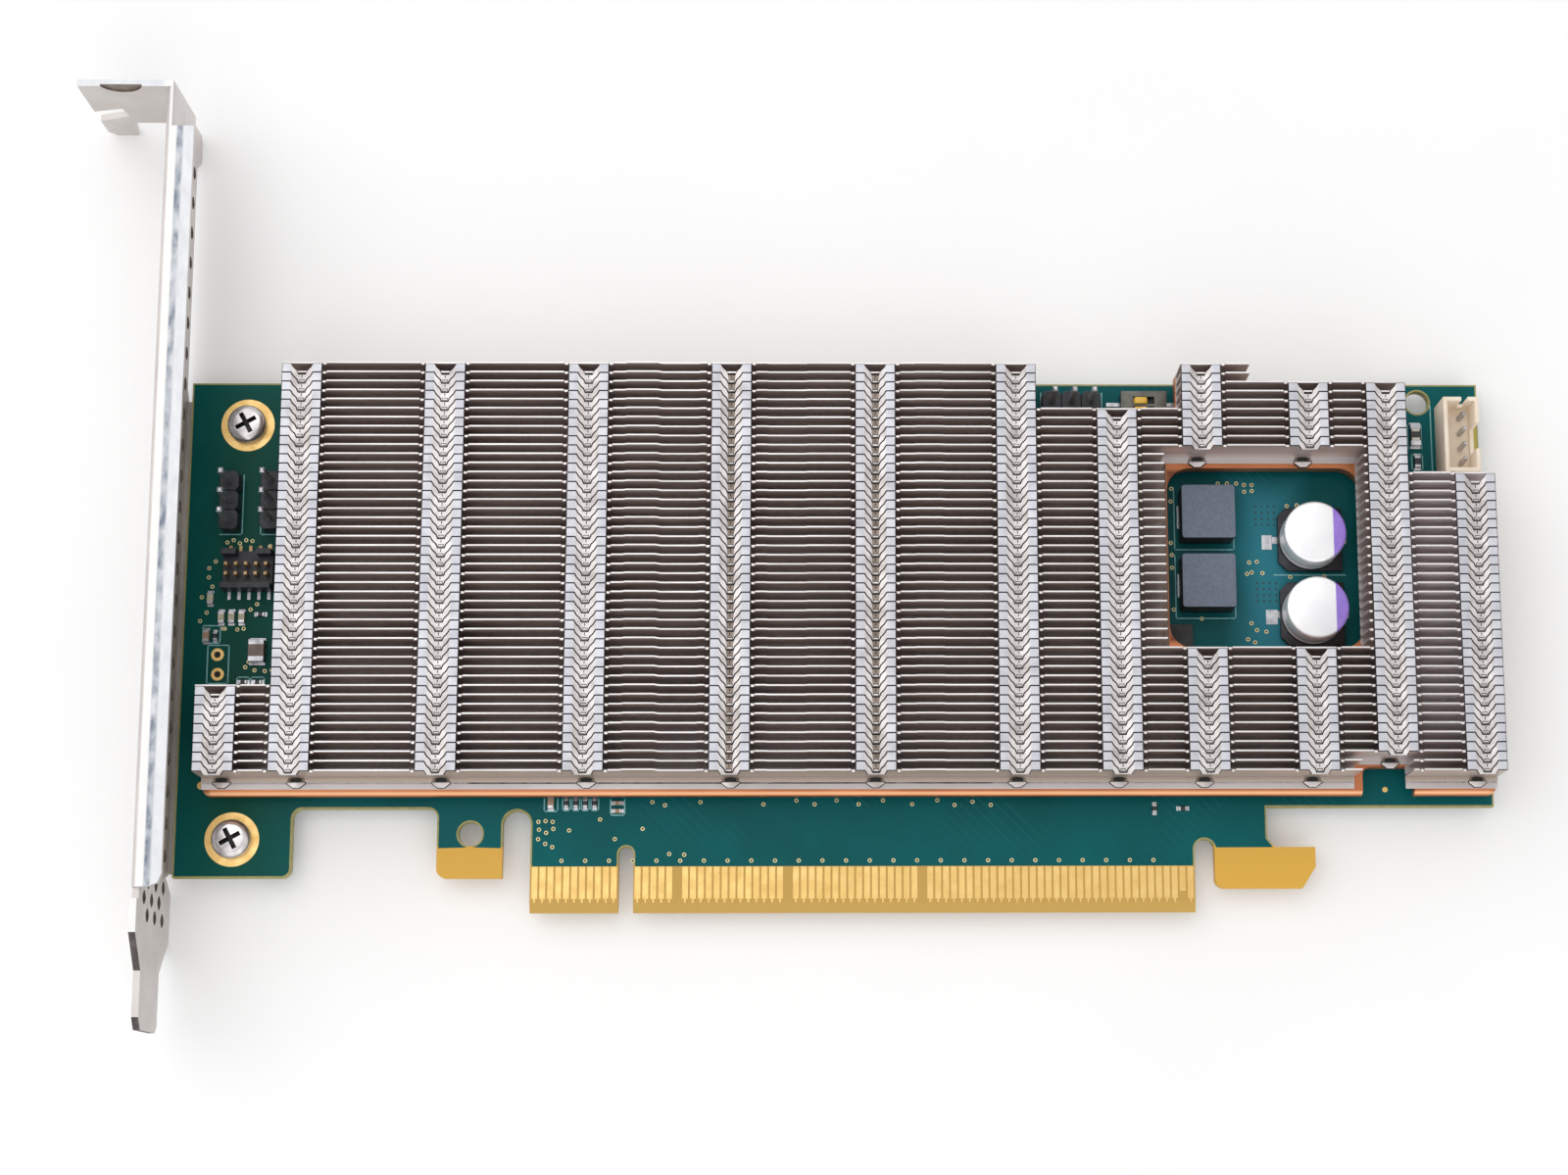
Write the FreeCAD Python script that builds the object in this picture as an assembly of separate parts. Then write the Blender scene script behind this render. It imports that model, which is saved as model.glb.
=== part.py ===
# Passive accelerator card: a half-length, low-profile edge-connector board in a full-height bracket,
# cooled by a stack of interlocked folded fins on a copper base plate, with no fan of its own.
#
# Millimetres. Every outline is drawn the way the card's own drawing gives it: x from the board's
# bracket end, y from the tips of the gold contacts, z up from the component face. At the end each
# part moves along x so that the origin lies at the key notch, where the slot locates the card.

import FreeCAD, Part
import math
import os

os.makedirs("parts", exist_ok=True)
Vec = FreeCAD.Vector

# Card form factor (edge-connector card standard)
BOARD_LENGTH = 167.65
BOARD_HEIGHT = 68.90
BOARD_THICK = 1.57
KEY_NOTCH_X = 57.15
KEY_NOTCH_WIDTH = 1.90
CONTACT_PITCH = 1.00
KEY_GAP = 3.00
CONTACTS_BEFORE_KEY = 11
CONTACTS_AFTER_KEY = 71
BRACKET_LENGTH = 120.02
BRACKET_WIDTH = 18.42
SHEET = 0.86

TONGUE_LEFT = KEY_NOTCH_X - KEY_NOTCH_WIDTH / 2 - 11.15
TONGUE_RIGHT = KEY_NOTCH_X + KEY_NOTCH_WIDTH / 2 + 71.15

# Heatsink
PLATE_UNDER = 1.80
PLATE_THICK = 2.00
PLATE_TOP = PLATE_UNDER + PLATE_THICK
FIN_TOP = 10.30
FIN_SHEET = 0.25
FIN_PITCH = 1.186
FIN_ROWS = 45
FIN_REAR_Y = 68.80
FOLD_GAP = 0.10
TAB_WIDTH = 5.10

# Zipper columns, where the fins lock into each other
COLUMNS = [6.60, 15.95, 34.10, 52.30, 70.45, 88.70, 106.60, 119.40, 130.25, 143.90, 153.80, 164.80]

# Where fins start and end: each end is the edge of a column's tabs, or a cut across plain fins
FIN_LEFT_FRONT = COLUMNS[0] - TAB_WIDTH / 2
FIN_LEFT = COLUMNS[1] - TAB_WIDTH / 2
FIN_RIGHT = COLUMNS[11] + TAB_WIDTH / 2
FIN_RIGHT_REAR = COLUMNS[10] + TAB_WIDTH / 2
RECESS_LEFT = COLUMNS[6] + TAB_WIDTH / 2
RECESS_RIGHT = COLUMNS[8] - TAB_WIDTH / 2
CUT_BACK_RIGHT = 136.50
WINDOW_LEFT = 125.30
WINDOW_RIGHT = 150.60
NOTCH_LEFT = 149.20
NOTCH_RIGHT = 155.70


def box(x0, y0, z0, x1, y1, z1):
    return Part.makeBox(x1 - x0, y1 - y0, z1 - z0, Vec(x0, y0, z0))


def block(cx, cy, z0, length, width, height):
    return box(cx - length / 2, cy - width / 2, z0, cx + length / 2, cy + width / 2, z0 + height)


def pin(cx, cy, z0, z1, radius):
    return Part.makeCylinder(radius, z1 - z0, Vec(cx, cy, z0))


def many_sided(cx, cy, z0, z1, radius, sides=12):
    """A small turned part or drilled hole, drawn with few faces; radius is to the flats."""
    corner = radius / math.cos(math.pi / sides)
    ring = []
    for step in range(sides):
        angle = (step + 0.5) * 2 * math.pi / sides
        ring.append((cx + corner * math.cos(angle), cy + corner * math.sin(angle)))
    return plan(ring, z0, z1)


def plan(points, z0, z1):
    """A flat outline in x and y, raised from z0 to z1."""
    wire = Part.makePolygon([Vec(x, y, z0) for x, y in points] + [Vec(*points[0], z0)])
    return Part.Face(wire).extrude(Vec(0, 0, z1 - z0))


def join(shapes):
    return shapes[0].multiFuse(shapes[1:]).removeSplitter()


def group(solids):
    return Part.makeCompound(solids)


def edges_at(shape, places, reach=0.05):
    """The upright edges that stand at the given x, y places."""
    found = []
    for edge in shape.Edges:
        middle = edge.CenterOfMass
        upright = len(edge.Vertexes) == 2 and abs(edge.tangentAt(edge.FirstParameter).z) > 0.99
        if upright and any(math.hypot(middle.x - x, middle.y - y) < reach for x, y in places):
            found.append(edge)
    return found


def save(name, shape):
    shape.translate(Vec(-KEY_NOTCH_X, 0, 0))
    shape.exportStep("parts/" + name + ".step")


# ---------------------------------------------------------------------------- circuit board

BRACKET_HOLE_X = 7.35
BRACKET_HOLE_HIGH = 63.25
BRACKET_HOLE_LOW = 9.30
MOUNT_HOLE_RADIUS = 1.525
FAR_HOLE = (159.80, 66.50)
TAB_HOLE = (37.40, 9.97)
COOLER_SCREWS = [(22.0, 58.0), (22.0, 24.0), (119.0, 58.0), (119.0, 24.0)]
COOLER_SCREW_RADIUS = 1.0
BEVEL_DEPTH = 1.20
BEVEL_INSET = 0.40

# the far tab: a hook that the slot's latch holds
HOOK_LEFT = 131.80
HOOK_RIGHT = 144.65
HOOK_BOTTOM = 3.00
HOOK_TOP = 8.20
HOOK_STEM = 138.55
LOWER_EDGE = 13.30
SLOT_TOP_LEFT = 12.95
SLOT_TOP_RIGHT = 9.20


def bevel(side):
    """The wedge that is ground off one face along the contact tips."""
    face = 0 if side > 0 else -BOARD_THICK
    points = [
        Vec(TONGUE_LEFT - 1, -0.01, face),
        Vec(TONGUE_LEFT - 1, -0.01, face - side * BEVEL_INSET),
        Vec(TONGUE_LEFT - 1, BEVEL_DEPTH, face),
    ]
    wedge = Part.Face(Part.makePolygon(points + [points[0]]))
    return wedge.extrude(Vec(TONGUE_RIGHT - TONGUE_LEFT + 2, 0, 0))


def round_slot(x0, x1, top):
    radius = (x1 - x0) / 2
    middle = (x0 + x1) / 2
    flat = box(x0, -1, -BOARD_THICK, x1, top - radius, 0)
    return flat.fuse(pin(middle, top - radius, -BOARD_THICK, 0, radius))


def circuit_board():
    recess_left, recess_right, recess_top = 14.90, 33.20, 13.20
    outline = [
        (0, BOARD_HEIGHT),
        (0, 4.45),
        (recess_left, 4.45),
        (recess_left, recess_top),
        (recess_right, recess_top),
        (recess_right, 4.40),
        (41.50, 4.40),
        (41.50, LOWER_EDGE),
        (TONGUE_LEFT, LOWER_EDGE),
        (TONGUE_LEFT, 0),
        (TONGUE_RIGHT, 0),
        (TONGUE_RIGHT, LOWER_EDGE),
        (HOOK_LEFT, LOWER_EDGE),
        (HOOK_LEFT, HOOK_BOTTOM),
        (HOOK_RIGHT - 1.70, HOOK_BOTTOM),
        (HOOK_RIGHT, HOOK_BOTTOM + 2.70),
        (HOOK_RIGHT, HOOK_TOP),
        (HOOK_STEM + 0.95, HOOK_TOP),
        (HOOK_STEM, HOOK_TOP + 1.15),
        (HOOK_STEM, LOWER_EDGE),
        (BOARD_LENGTH, LOWER_EDGE),
        (BOARD_LENGTH, BOARD_HEIGHT),
    ]
    board = plan(outline, -BOARD_THICK, 0)
    # the narrow slots beside the tongue stop short of the board's lower edge, with round ends
    board = board.fuse(box(41.40, SLOT_TOP_LEFT - 1.775, -BOARD_THICK, TONGUE_LEFT + 0.1, LOWER_EDGE, 0))
    board = board.cut(round_slot(41.50, TONGUE_LEFT, SLOT_TOP_LEFT))
    board = board.fuse(box(TONGUE_RIGHT - 0.1, 7.9, -BOARD_THICK, HOOK_LEFT + 0.1, LOWER_EDGE, 0))
    board = board.cut(round_slot(TONGUE_RIGHT, HOOK_LEFT, SLOT_TOP_RIGHT))
    key = (KEY_NOTCH_X - KEY_NOTCH_WIDTH / 2, KEY_NOTCH_X + KEY_NOTCH_WIDTH / 2)
    board = board.cut(round_slot(key[0], key[1], 8.35))
    board = board.cut(bevel(1)).cut(bevel(-1)).removeSplitter()
    corners = [(recess_left, 4.45), (recess_left, recess_top), (recess_right, recess_top)]
    corners += [(recess_right, 4.40), (HOOK_LEFT, HOOK_BOTTOM)]
    board = board.makeFillet(1.2, edges_at(board, corners))
    holes = [(BRACKET_HOLE_X, BRACKET_HOLE_HIGH), (BRACKET_HOLE_X, BRACKET_HOLE_LOW), FAR_HOLE, TAB_HOLE]
    for x, y in holes:
        board = board.cut(pin(x, y, -BOARD_THICK, 0, MOUNT_HOLE_RADIUS))
    for x, y in COOLER_SCREWS:
        board = board.cut(many_sided(x, y, -BOARD_THICK, 0, COOLER_SCREW_RADIUS + 0.1, 8))
    return board


# ---------------------------------------------------------------------------- gold contacts

CONTACT_THICK = 0.05
CONTACT_WIDTH = 0.75
CONTACT_LOW = 1.73
CONTACT_HIGH = 5.80
LEFT_OUT = (17, 31, 48)
PRESENCE_CONTACT = 81


def contact_x(number):
    if number <= CONTACTS_BEFORE_KEY:
        return KEY_NOTCH_X - KEY_GAP / 2 - (CONTACTS_BEFORE_KEY - number) * CONTACT_PITCH
    return KEY_NOTCH_X + KEY_GAP / 2 + (number - CONTACTS_BEFORE_KEY - 1) * CONTACT_PITCH


def contacts():
    pads = []
    for number in range(1, CONTACTS_BEFORE_KEY + CONTACTS_AFTER_KEY + 1):
        if number in LEFT_OUT:
            continue
        low = CONTACT_LOW + (0.90 if number == PRESENCE_CONTACT else 0)
        x = contact_x(number)
        pads.append(box(x - CONTACT_WIDTH / 2, low, 0, x + CONTACT_WIDTH / 2, CONTACT_HIGH, CONTACT_THICK))
    return group(pads)


# ---------------------------------------------------------------------------- bracket

BRACKET_INNER = -0.90
BRACKET_OUTER = BRACKET_INNER - SHEET
SOLDER_EDGE = -3.72
COMPONENT_EDGE = SOLDER_EDGE + BRACKET_WIDTH
EAR_UNDER = 104.15
EAR_TIP = -13.20
BLADE_TIP = EAR_UNDER + SHEET - BRACKET_LENGTH
BLADE_LOW = 0.90
BLADE_HIGH = BLADE_LOW + 10.19
NARROW_EDGE = -1.20
BOARD_TAB_LOW = 5.10
BOARD_TAB_HIGH = 66.80
BRACKET_SCREW_RADIUS = 1.25
VENT_RADIUS = 1.0
VENT_PITCH = 4.10


def bracket_face():
    """The upright sheet, drawn in y and z."""
    outline = [
        (EAR_UNDER + SHEET, COMPONENT_EDGE),
        (EAR_UNDER + SHEET, BLADE_LOW + 0.2),
        (EAR_UNDER - 0.3, BLADE_LOW + 0.2),
        (EAR_UNDER - 0.3, SOLDER_EDGE + 0.8),
        (EAR_UNDER - 1.1, SOLDER_EDGE),
        (100.3, SOLDER_EDGE),
        (98.6, NARROW_EDGE),
        (BOARD_TAB_HIGH + 1.7, NARROW_EDGE),
        (BOARD_TAB_HIGH, -BOARD_THICK - SHEET),
        (BOARD_TAB_LOW, -BOARD_THICK - SHEET),
        (BOARD_TAB_LOW - 0.6, NARROW_EDGE + 0.7),
        (4.0, SOLDER_EDGE + 2.0),
        (2.6, SOLDER_EDGE),
        (-3.3, SOLDER_EDGE),
        (-7.6, BLADE_LOW),
        (BLADE_TIP + 0.8, BLADE_LOW),
        (BLADE_TIP, BLADE_LOW + 0.9),
        (BLADE_TIP, BLADE_HIGH - 1.2),
        (BLADE_TIP + 1.5, BLADE_HIGH),
        (-7.9, BLADE_HIGH),
        (-3.5, COMPONENT_EDGE),
    ]
    points = [Vec(BRACKET_OUTER, y, z) for y, z in outline]
    return Part.Face(Part.makePolygon(points + [points[0]])).extrude(Vec(SHEET, 0, 0))


def bracket_ear():
    """The ear that the chassis screw holds, folded outwards at the top, with its open screw slot."""
    prong_inner = -9.35
    outline = [
        (BRACKET_OUTER, COMPONENT_EDGE),
        (EAR_TIP, COMPONENT_EDGE),
        (EAR_TIP, 5.30),
        (-9.30, 6.40),
        (-8.95, 3.60),
        (EAR_TIP, 1.80),
        (EAR_TIP, SOLDER_EDGE + 1.3),
        (EAR_TIP + 1.0, SOLDER_EDGE),
        (prong_inner - 0.4, SOLDER_EDGE),
        (prong_inner, SOLDER_EDGE + 0.4),
        (prong_inner + 0.5, BLADE_LOW + 0.2),
        (BRACKET_OUTER, BLADE_LOW + 0.2),
    ]
    points = [Vec(x, EAR_UNDER, z) for x, z in outline]
    ear = Part.Face(Part.makePolygon(points + [points[0]])).extrude(Vec(0, SHEET, 0))
    dent_radius = 2.7
    dent = Part.makeCylinder(dent_radius, 0.25, Vec(-7.6, EAR_UNDER, COMPONENT_EDGE + 0.5), Vec(0, 1, 0))
    return ear.cut(dent)


def stiffening_flange():
    """The long edge of the sheet, folded inwards over the end of the board."""
    low, high, reach = 2.0, 98.9, 1.95
    corner = 1.6
    points = [
        (BRACKET_OUTER, low),
        (reach - corner, low),
        (reach - 0.3 * corner, low + 0.3 * corner),
        (reach, low + corner),
        (reach, high),
        (BRACKET_OUTER, high),
    ]
    return plan(points, COMPONENT_EDGE - SHEET, COMPONENT_EDGE)


def board_tab():
    """The foot under the board, which the two bracket screws clamp."""
    reach = 11.0
    tab = box(BRACKET_INNER, BOARD_TAB_LOW, -BOARD_THICK - SHEET, reach, BOARD_TAB_HIGH, -BOARD_THICK)
    middle = box(3.0, 14.6, -5, reach + 1, 57.9, 0)
    tab = tab.cut(middle)
    for y in (BRACKET_HOLE_LOW, BRACKET_HOLE_HIGH):
        tab = tab.cut(many_sided(BRACKET_HOLE_X, y, -5, 0, BRACKET_SCREW_RADIUS))
    return tab


def vents():
    """Staggered rows of vent holes."""
    holes = []
    rows = 6
    for row in range(rows):
        z = 0.50 + row * VENT_PITCH / 2
        y = -1.0 + (row % 2) * VENT_PITCH / 2
        while y < 98.0:
            corners = []
            for turn in range(4):
                angle = turn * math.pi / 2
                corners.append(Vec(BRACKET_OUTER - 1, y + VENT_RADIUS * 1.12 * math.cos(angle),
                                   z + VENT_RADIUS * 1.12 * math.sin(angle)))
            wire = Part.makePolygon(corners + [corners[0]])
            holes.append(Part.Face(wire).extrude(Vec(SHEET + 2, 0, 0)))
            y += VENT_PITCH
    return holes


def bracket():
    sheet = join([bracket_face(), bracket_ear(), stiffening_flange(), board_tab()])
    # relief slit below the flange, where the fold ends
    relief = box(BRACKET_OUTER - 1, 0.6, COMPONENT_EDGE - SHEET - 0.2, 3, 2.0, COMPONENT_EDGE + 1)
    sheet = sheet.cut(relief)
    folds = []
    for edge in sheet.Edges:
        middle = edge.CenterOfMass
        at_fold = abs(middle.x - BRACKET_OUTER) < 0.01 and abs(middle.z - COMPONENT_EDGE) < 0.01
        if at_fold and edge.Length > 60:
            folds.append(edge)
    if folds:
        sheet = sheet.makeFillet(0.8, folds)
    return sheet.cut(Part.makeCompound(vents()))


# ---------------------------------------------------------------------------- screws

def pan_head(cx, cy, seat, radius, height):
    """A low head standing on its seat, up or down by the sign of height, with its rim eased."""
    rim = many_sided(cx, cy, min(seat, seat + height), max(seat, seat + height), radius)
    crown = [edge for edge in rim.Edges if abs(edge.CenterOfMass.z - seat - height) < 0.01]
    return rim.makeChamfer(abs(height) * 0.4, crown)


def bracket_screws():
    screws = []
    for y in (BRACKET_HOLE_LOW, BRACKET_HOLE_HIGH):
        head = pan_head(BRACKET_HOLE_X, y, 0, 2.55, 1.65)
        shank = many_sided(BRACKET_HOLE_X, y, -BOARD_THICK - SHEET - 0.6, 0, BRACKET_SCREW_RADIUS)
        screws.append(join([head, shank]))
    return group(screws)


def heatsink_screws():
    """Four screws that come up through the board to the base plate; their threads in it aren't drawn."""
    screws = []
    for x, y in COOLER_SCREWS:
        head = pan_head(x, y, -BOARD_THICK, 2.0, -1.3)
        shank = many_sided(x, y, -BOARD_THICK, PLATE_UNDER, COOLER_SCREW_RADIUS, 8)
        screws.append(join([head, shank]))
    return group(screws)


# ---------------------------------------------------------------------------- heatsink

PLATE_FRONT = 14.40
PLATE_REAR = 68.90
PLATE_LEFT = 4.10
PLATE_LEFT_REAR = 13.20
PLATE_RIGHT = 167.30
PLATE_RIGHT_REAR = 156.30
PLATE_CUT_BACK = 136.60
PLATE_RECESS_LEFT = 109.30
PLATE_RECESS_RIGHT = 127.60
PLATE_NOTCH_LEFT = 150.30
PLATE_NOTCH_RIGHT = 156.90
PLATE_NOTCH_TOP = 17.90
PLATE_LIP = 0.45
PLATE_CORNER = 1.0
PLATE_CHAMFER = 0.6
PLATE_WINDOW_LEFT = 126.30
PLATE_WINDOW_RIGHT = 151.30
PLATE_WINDOW_FRONT = 33.20
PLATE_WINDOW_REAR = 56.75
PLATE_WINDOW_CORNER = 3.0
CHIP_HEIGHT = 1.15
PAD_THICK = PLATE_UNDER - CHIP_HEIGHT


def fin_y(row):
    """The front face of a fin's upright wall."""
    return FIN_REAR_Y - row * FIN_PITCH


def lip_y(row):
    """The edge of the plate where it stops behind one row of fins."""
    return fin_y(row) + PLATE_LIP


def base_plate():
    outline = [
        (PLATE_LEFT, PLATE_FRONT),
        (PLATE_NOTCH_LEFT, PLATE_FRONT),
        (PLATE_NOTCH_LEFT, PLATE_NOTCH_TOP),
        (PLATE_NOTCH_RIGHT, PLATE_NOTCH_TOP),
        (PLATE_NOTCH_RIGHT, PLATE_FRONT),
        (PLATE_RIGHT, PLATE_FRONT),
        (PLATE_RIGHT, lip_y(12)),
        (PLATE_RIGHT_REAR, lip_y(12)),
        (PLATE_RIGHT_REAR, lip_y(2)),
        (PLATE_CUT_BACK, lip_y(2)),
        (PLATE_CUT_BACK, PLATE_REAR),
        (PLATE_RECESS_RIGHT, PLATE_REAR),
        (PLATE_RECESS_RIGHT, lip_y(5)),
        (PLATE_RECESS_LEFT, lip_y(5)),
        (PLATE_RECESS_LEFT, PLATE_REAR),
        (PLATE_LEFT_REAR, PLATE_REAR),
        (PLATE_LEFT_REAR, lip_y(35)),
        (PLATE_LEFT, lip_y(35)),
    ]
    plate = plan(outline, PLATE_UNDER, PLATE_TOP)
    left, right = PLATE_WINDOW_LEFT, PLATE_WINDOW_RIGHT
    low, high = PLATE_WINDOW_FRONT, PLATE_WINDOW_REAR
    window = box(left, low, 0, right, high, 20)
    window_corners = edges_at(window, [(left, low), (right, low), (right, high), (left, high)])
    plate = plate.cut(window.makeFillet(PLATE_WINDOW_CORNER, window_corners))
    corners = [(PLATE_LEFT, PLATE_FRONT), (PLATE_RIGHT, PLATE_FRONT)]
    corners += [(PLATE_NOTCH_LEFT, PLATE_NOTCH_TOP), (PLATE_NOTCH_RIGHT, PLATE_NOTCH_TOP)]
    plate = plate.makeFillet(PLATE_CORNER, edges_at(plate, corners))
    front = []
    for edge in plate.Edges:
        middle = edge.CenterOfMass
        if abs(middle.y - PLATE_FRONT) < 0.01 and abs(middle.z - PLATE_TOP) < 0.01:
            front.append(edge)
    return plate.makeChamfer(PLATE_CHAMFER, front)


def fin(x0, x1, tab_columns):
    """One folded fin: an upright wall, a foot that runs forward to the next fin, and the locking tabs,
    which are coined thinner towards the fin they lock into."""
    reach = FIN_PITCH - FOLD_GAP
    profile = [
        Vec(x0, FIN_SHEET, PLATE_TOP),
        Vec(x0, FIN_SHEET - reach, PLATE_TOP),
        Vec(x0, FIN_SHEET - reach, PLATE_TOP + FIN_SHEET),
        Vec(x0, 0, PLATE_TOP + FIN_SHEET),
        Vec(x0, 0, FIN_TOP),
        Vec(x0, FIN_SHEET, FIN_TOP),
    ]
    sheet = Part.Face(Part.makePolygon(profile + [profile[0]])).extrude(Vec(x1 - x0, 0, 0))
    tabs = []
    for x in tab_columns:
        section = [
            Vec(x - TAB_WIDTH / 2, 0, FIN_TOP),
            Vec(x - TAB_WIDTH / 2, 0, FIN_TOP - FIN_SHEET),
            Vec(x - TAB_WIDTH / 2, FIN_SHEET - reach, FIN_TOP),
        ]
        tabs.append(Part.Face(Part.makePolygon(section + [section[0]])).extrude(Vec(TAB_WIDTH, 0, 0)))
    return join([sheet] + tabs) if tabs else sheet


def spans(row):
    """Where fins stand in one row, as pairs of x."""
    left = FIN_LEFT_FRONT if row >= 35 else FIN_LEFT
    right = FIN_RIGHT if row >= 12 else FIN_RIGHT_REAR
    if row < 2:
        right = CUT_BACK_RIGHT
    if row < 5:
        return [(left, RECESS_LEFT), (RECESS_RIGHT, right)]
    if 10 <= row <= 30:
        return [(left, WINDOW_LEFT), (WINDOW_RIGHT, right)]
    if row >= 43:
        return [(left, NOTCH_LEFT), (NOTCH_RIGHT, right)]
    return [(left, right)]


def in_span(x, span):
    return span[0] + 2.3 < x < span[1] - 2.3


def fins(rows, side=None):
    """The fins of a run of rows; side picks the left (0) or right (1) one where a row is divided."""
    solids = []
    for row in rows:
        divided = spans(row)
        chosen = divided if side is None else [divided[side]]
        for span in chosen:
            ahead = spans(row + 1) if row + 1 < FIN_ROWS else []
            columns = [x for x in COLUMNS if in_span(x, span) and any(in_span(x, other) for other in ahead)]
            solid = fin(span[0], span[1], columns)
            solid.translate(Vec(0, fin_y(row), 0))
            solids.append(solid)
    return group(solids)


# ---------------------------------------------------------------------------- chips under the heatsink

ACCELERATORS = [(31.0, 41.0), (53.0, 41.0), (75.0, 41.0), (97.0, 41.0)]
ACCELERATOR_SIZE = 15.0
BRIDGE = (64.0, 22.5)
BRIDGE_SIZE = 9.0


def chips():
    return group([block(x, y, 0, ACCELERATOR_SIZE, ACCELERATOR_SIZE, CHIP_HEIGHT) for x, y in ACCELERATORS])


def chip_pads():
    size = ACCELERATOR_SIZE - 1.0
    return group([block(x, y, CHIP_HEIGHT, size, size, PAD_THICK) for x, y in ACCELERATORS])


# ---------------------------------------------------------------------------- power parts in the window

INDUCTORS = [(131.60, 51.05), (131.50, 42.00)]
CAPACITORS = [(145.05, 48.00), (145.10, 38.20)]
INDUCTOR_HEIGHT = 4.0
CAN_RADIUS = 4.0
CAN_TOP = 5.6
CAN_BASE = 0.9
CAN_BASE_SIZE = 8.3


def inductors():
    bodies = []
    for x, y in INDUCTORS:
        body = block(x, y, 0.1, 6.9, 7.0, INDUCTOR_HEIGHT - 0.1)
        bodies.append(body.makeChamfer(0.35, edges_at(body, [(x - 3.45, y - 3.5), (x + 3.45, y - 3.5),
                                                              (x + 3.45, y + 3.5), (x - 3.45, y + 3.5)])))
    return group(bodies)


def inductor_terminals():
    feet = []
    for x, y in INDUCTORS:
        for side in (-1, 1):
            feet.append(block(x + side * 2.7, y, 0, 1.9, 3.0, 0.1))
    return group(feet)


def capacitor_cans():
    cans = []
    for x, y in CAPACITORS:
        can = many_sided(x, y, CAN_BASE, CAN_TOP, CAN_RADIUS, 24)
        rim = [edge for edge in can.Edges if abs(edge.CenterOfMass.z - CAN_TOP) < 0.01]
        cans.append(can.makeChamfer(0.35, rim))
    return group(cans)


def capacitor_bases():
    bases = []
    half = CAN_BASE_SIZE / 2
    for x, y in CAPACITORS:
        cut = 1.1
        points = [
            (x - half, y - half + cut),
            (x - half + cut, y - half),
            (x + half, y - half),
            (x + half, y + half),
            (x - half + cut, y + half),
            (x - half, y + half - cut),
        ]
        bases.append(plan(points, 0.15, CAN_BASE))
    return group(bases)


def capacitor_leads():
    leads = []
    for x, y in CAPACITORS:
        for side in (-1, 1):
            leads.append(block(x + side * 3.35, y, 0, 2.9, 0.9, 0.15))
    return group(leads)


# ---------------------------------------------------------------------------- pin headers and switch

PIN_PITCH = 2.54
LEFT_HEADERS = [(5.75, 52.80), (11.00, 52.80)]
TOP_HEADER = (114.30, 66.10)
HEADER_WIDTH = 2.50
HEADER_BODY = 2.50
PIN_TOP = 8.50
PIN_SQUARE = 0.64


def pin_header(cx, cy, along_y):
    """The moulded strip of a three-way header, solid where it grips its pins."""
    length = 3 * PIN_PITCH
    if along_y:
        return block(cx, cy, 0, HEADER_WIDTH, length, HEADER_BODY)
    return block(cx, cy, 0, length, HEADER_WIDTH, HEADER_BODY)


def header_post(x, y):
    return block(x, y, HEADER_BODY, PIN_SQUARE, PIN_SQUARE, PIN_TOP - HEADER_BODY)


def header_pins():
    pins = []
    for step in (-1, 0, 1):
        for x, y in LEFT_HEADERS:
            pins.append(header_post(x, y + step * PIN_PITCH))
        pins.append(header_post(TOP_HEADER[0] + step * PIN_PITCH, TOP_HEADER[1]))
    return group(pins)


DEBUG_HEADER = (8.35, 43.70)
DEBUG_PITCH = 1.27
DEBUG_HEIGHT = 3.40


def debug_header_places():
    x, y = DEBUG_HEADER
    places = []
    for step in range(-2, 3):
        for side in (-1, 1):
            places.append((x + step * DEBUG_PITCH, y + side * DEBUG_PITCH / 2, side))
    return places


def debug_header_body():
    x, y = DEBUG_HEADER
    body = block(x, y, 0.3, 6.35, 5.1, DEBUG_HEIGHT - 0.3)
    body = body.cut(block(x, y, 1.5, 7, 3.7, 5))
    body = body.cut(box(x - 1.3, y, 1.5, x + 1.3, y + 3, 5))
    for px, py, side in debug_header_places():
        body = body.cut(block(px, py, 0, 0.4, 0.4, 5))
    return body


def debug_header_pins():
    """Each pin stands up through the body and turns outwards to its pad on the board."""
    pins = []
    for x, y, side in debug_header_places():
        post = block(x, y, 0, 0.4, 0.4, 3.2)
        toe = box(x - 0.2, min(y, y + side * 2.9), 0, x + 0.2, max(y, y + side * 2.9), 0.2)
        pins.append(join([post, toe]))
    return group(pins)


FAN_HEADER_X = (162.00, 166.60)
FAN_HEADER_Y = (55.85, 65.75)
FAN_HEADER_TOP = 6.0
FAN_HEADER_FLOOR = 1.3
FAN_PIN_X = 164.85
FAN_PIN_Y = 60.85
FAN_PIN_PITCH = 2.0


def fan_header_housing():
    """An open-topped box with a floor, a slot in the outer long wall and a small notch in the far end."""
    wall = 0.55
    x0, x1 = FAN_HEADER_X
    y0, y1 = FAN_HEADER_Y
    shell = box(x0, y0, 0, x1, y1, FAN_HEADER_TOP)
    shell = shell.cut(box(x0 + wall, y0 + wall, FAN_HEADER_FLOOR, x1 - wall, y1 - wall, 9))
    shell = shell.cut(box(x1 - wall - 0.1, 58.9, 2.2, x1 + 1, 62.3, 9))
    shell = shell.cut(box(164.4, y1 - wall - 0.1, 2.2, 165.2, y1 + 1, 9))
    return shell


def fan_header_pins():
    pins = []
    for step in range(4):
        y = FAN_PIN_Y + (step - 1.5) * FAN_PIN_PITCH
        pins.append(block(FAN_PIN_X, y, FAN_HEADER_FLOOR, 0.5, 0.5, 5.0 - FAN_HEADER_FLOOR))
    return group(pins)


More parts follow.
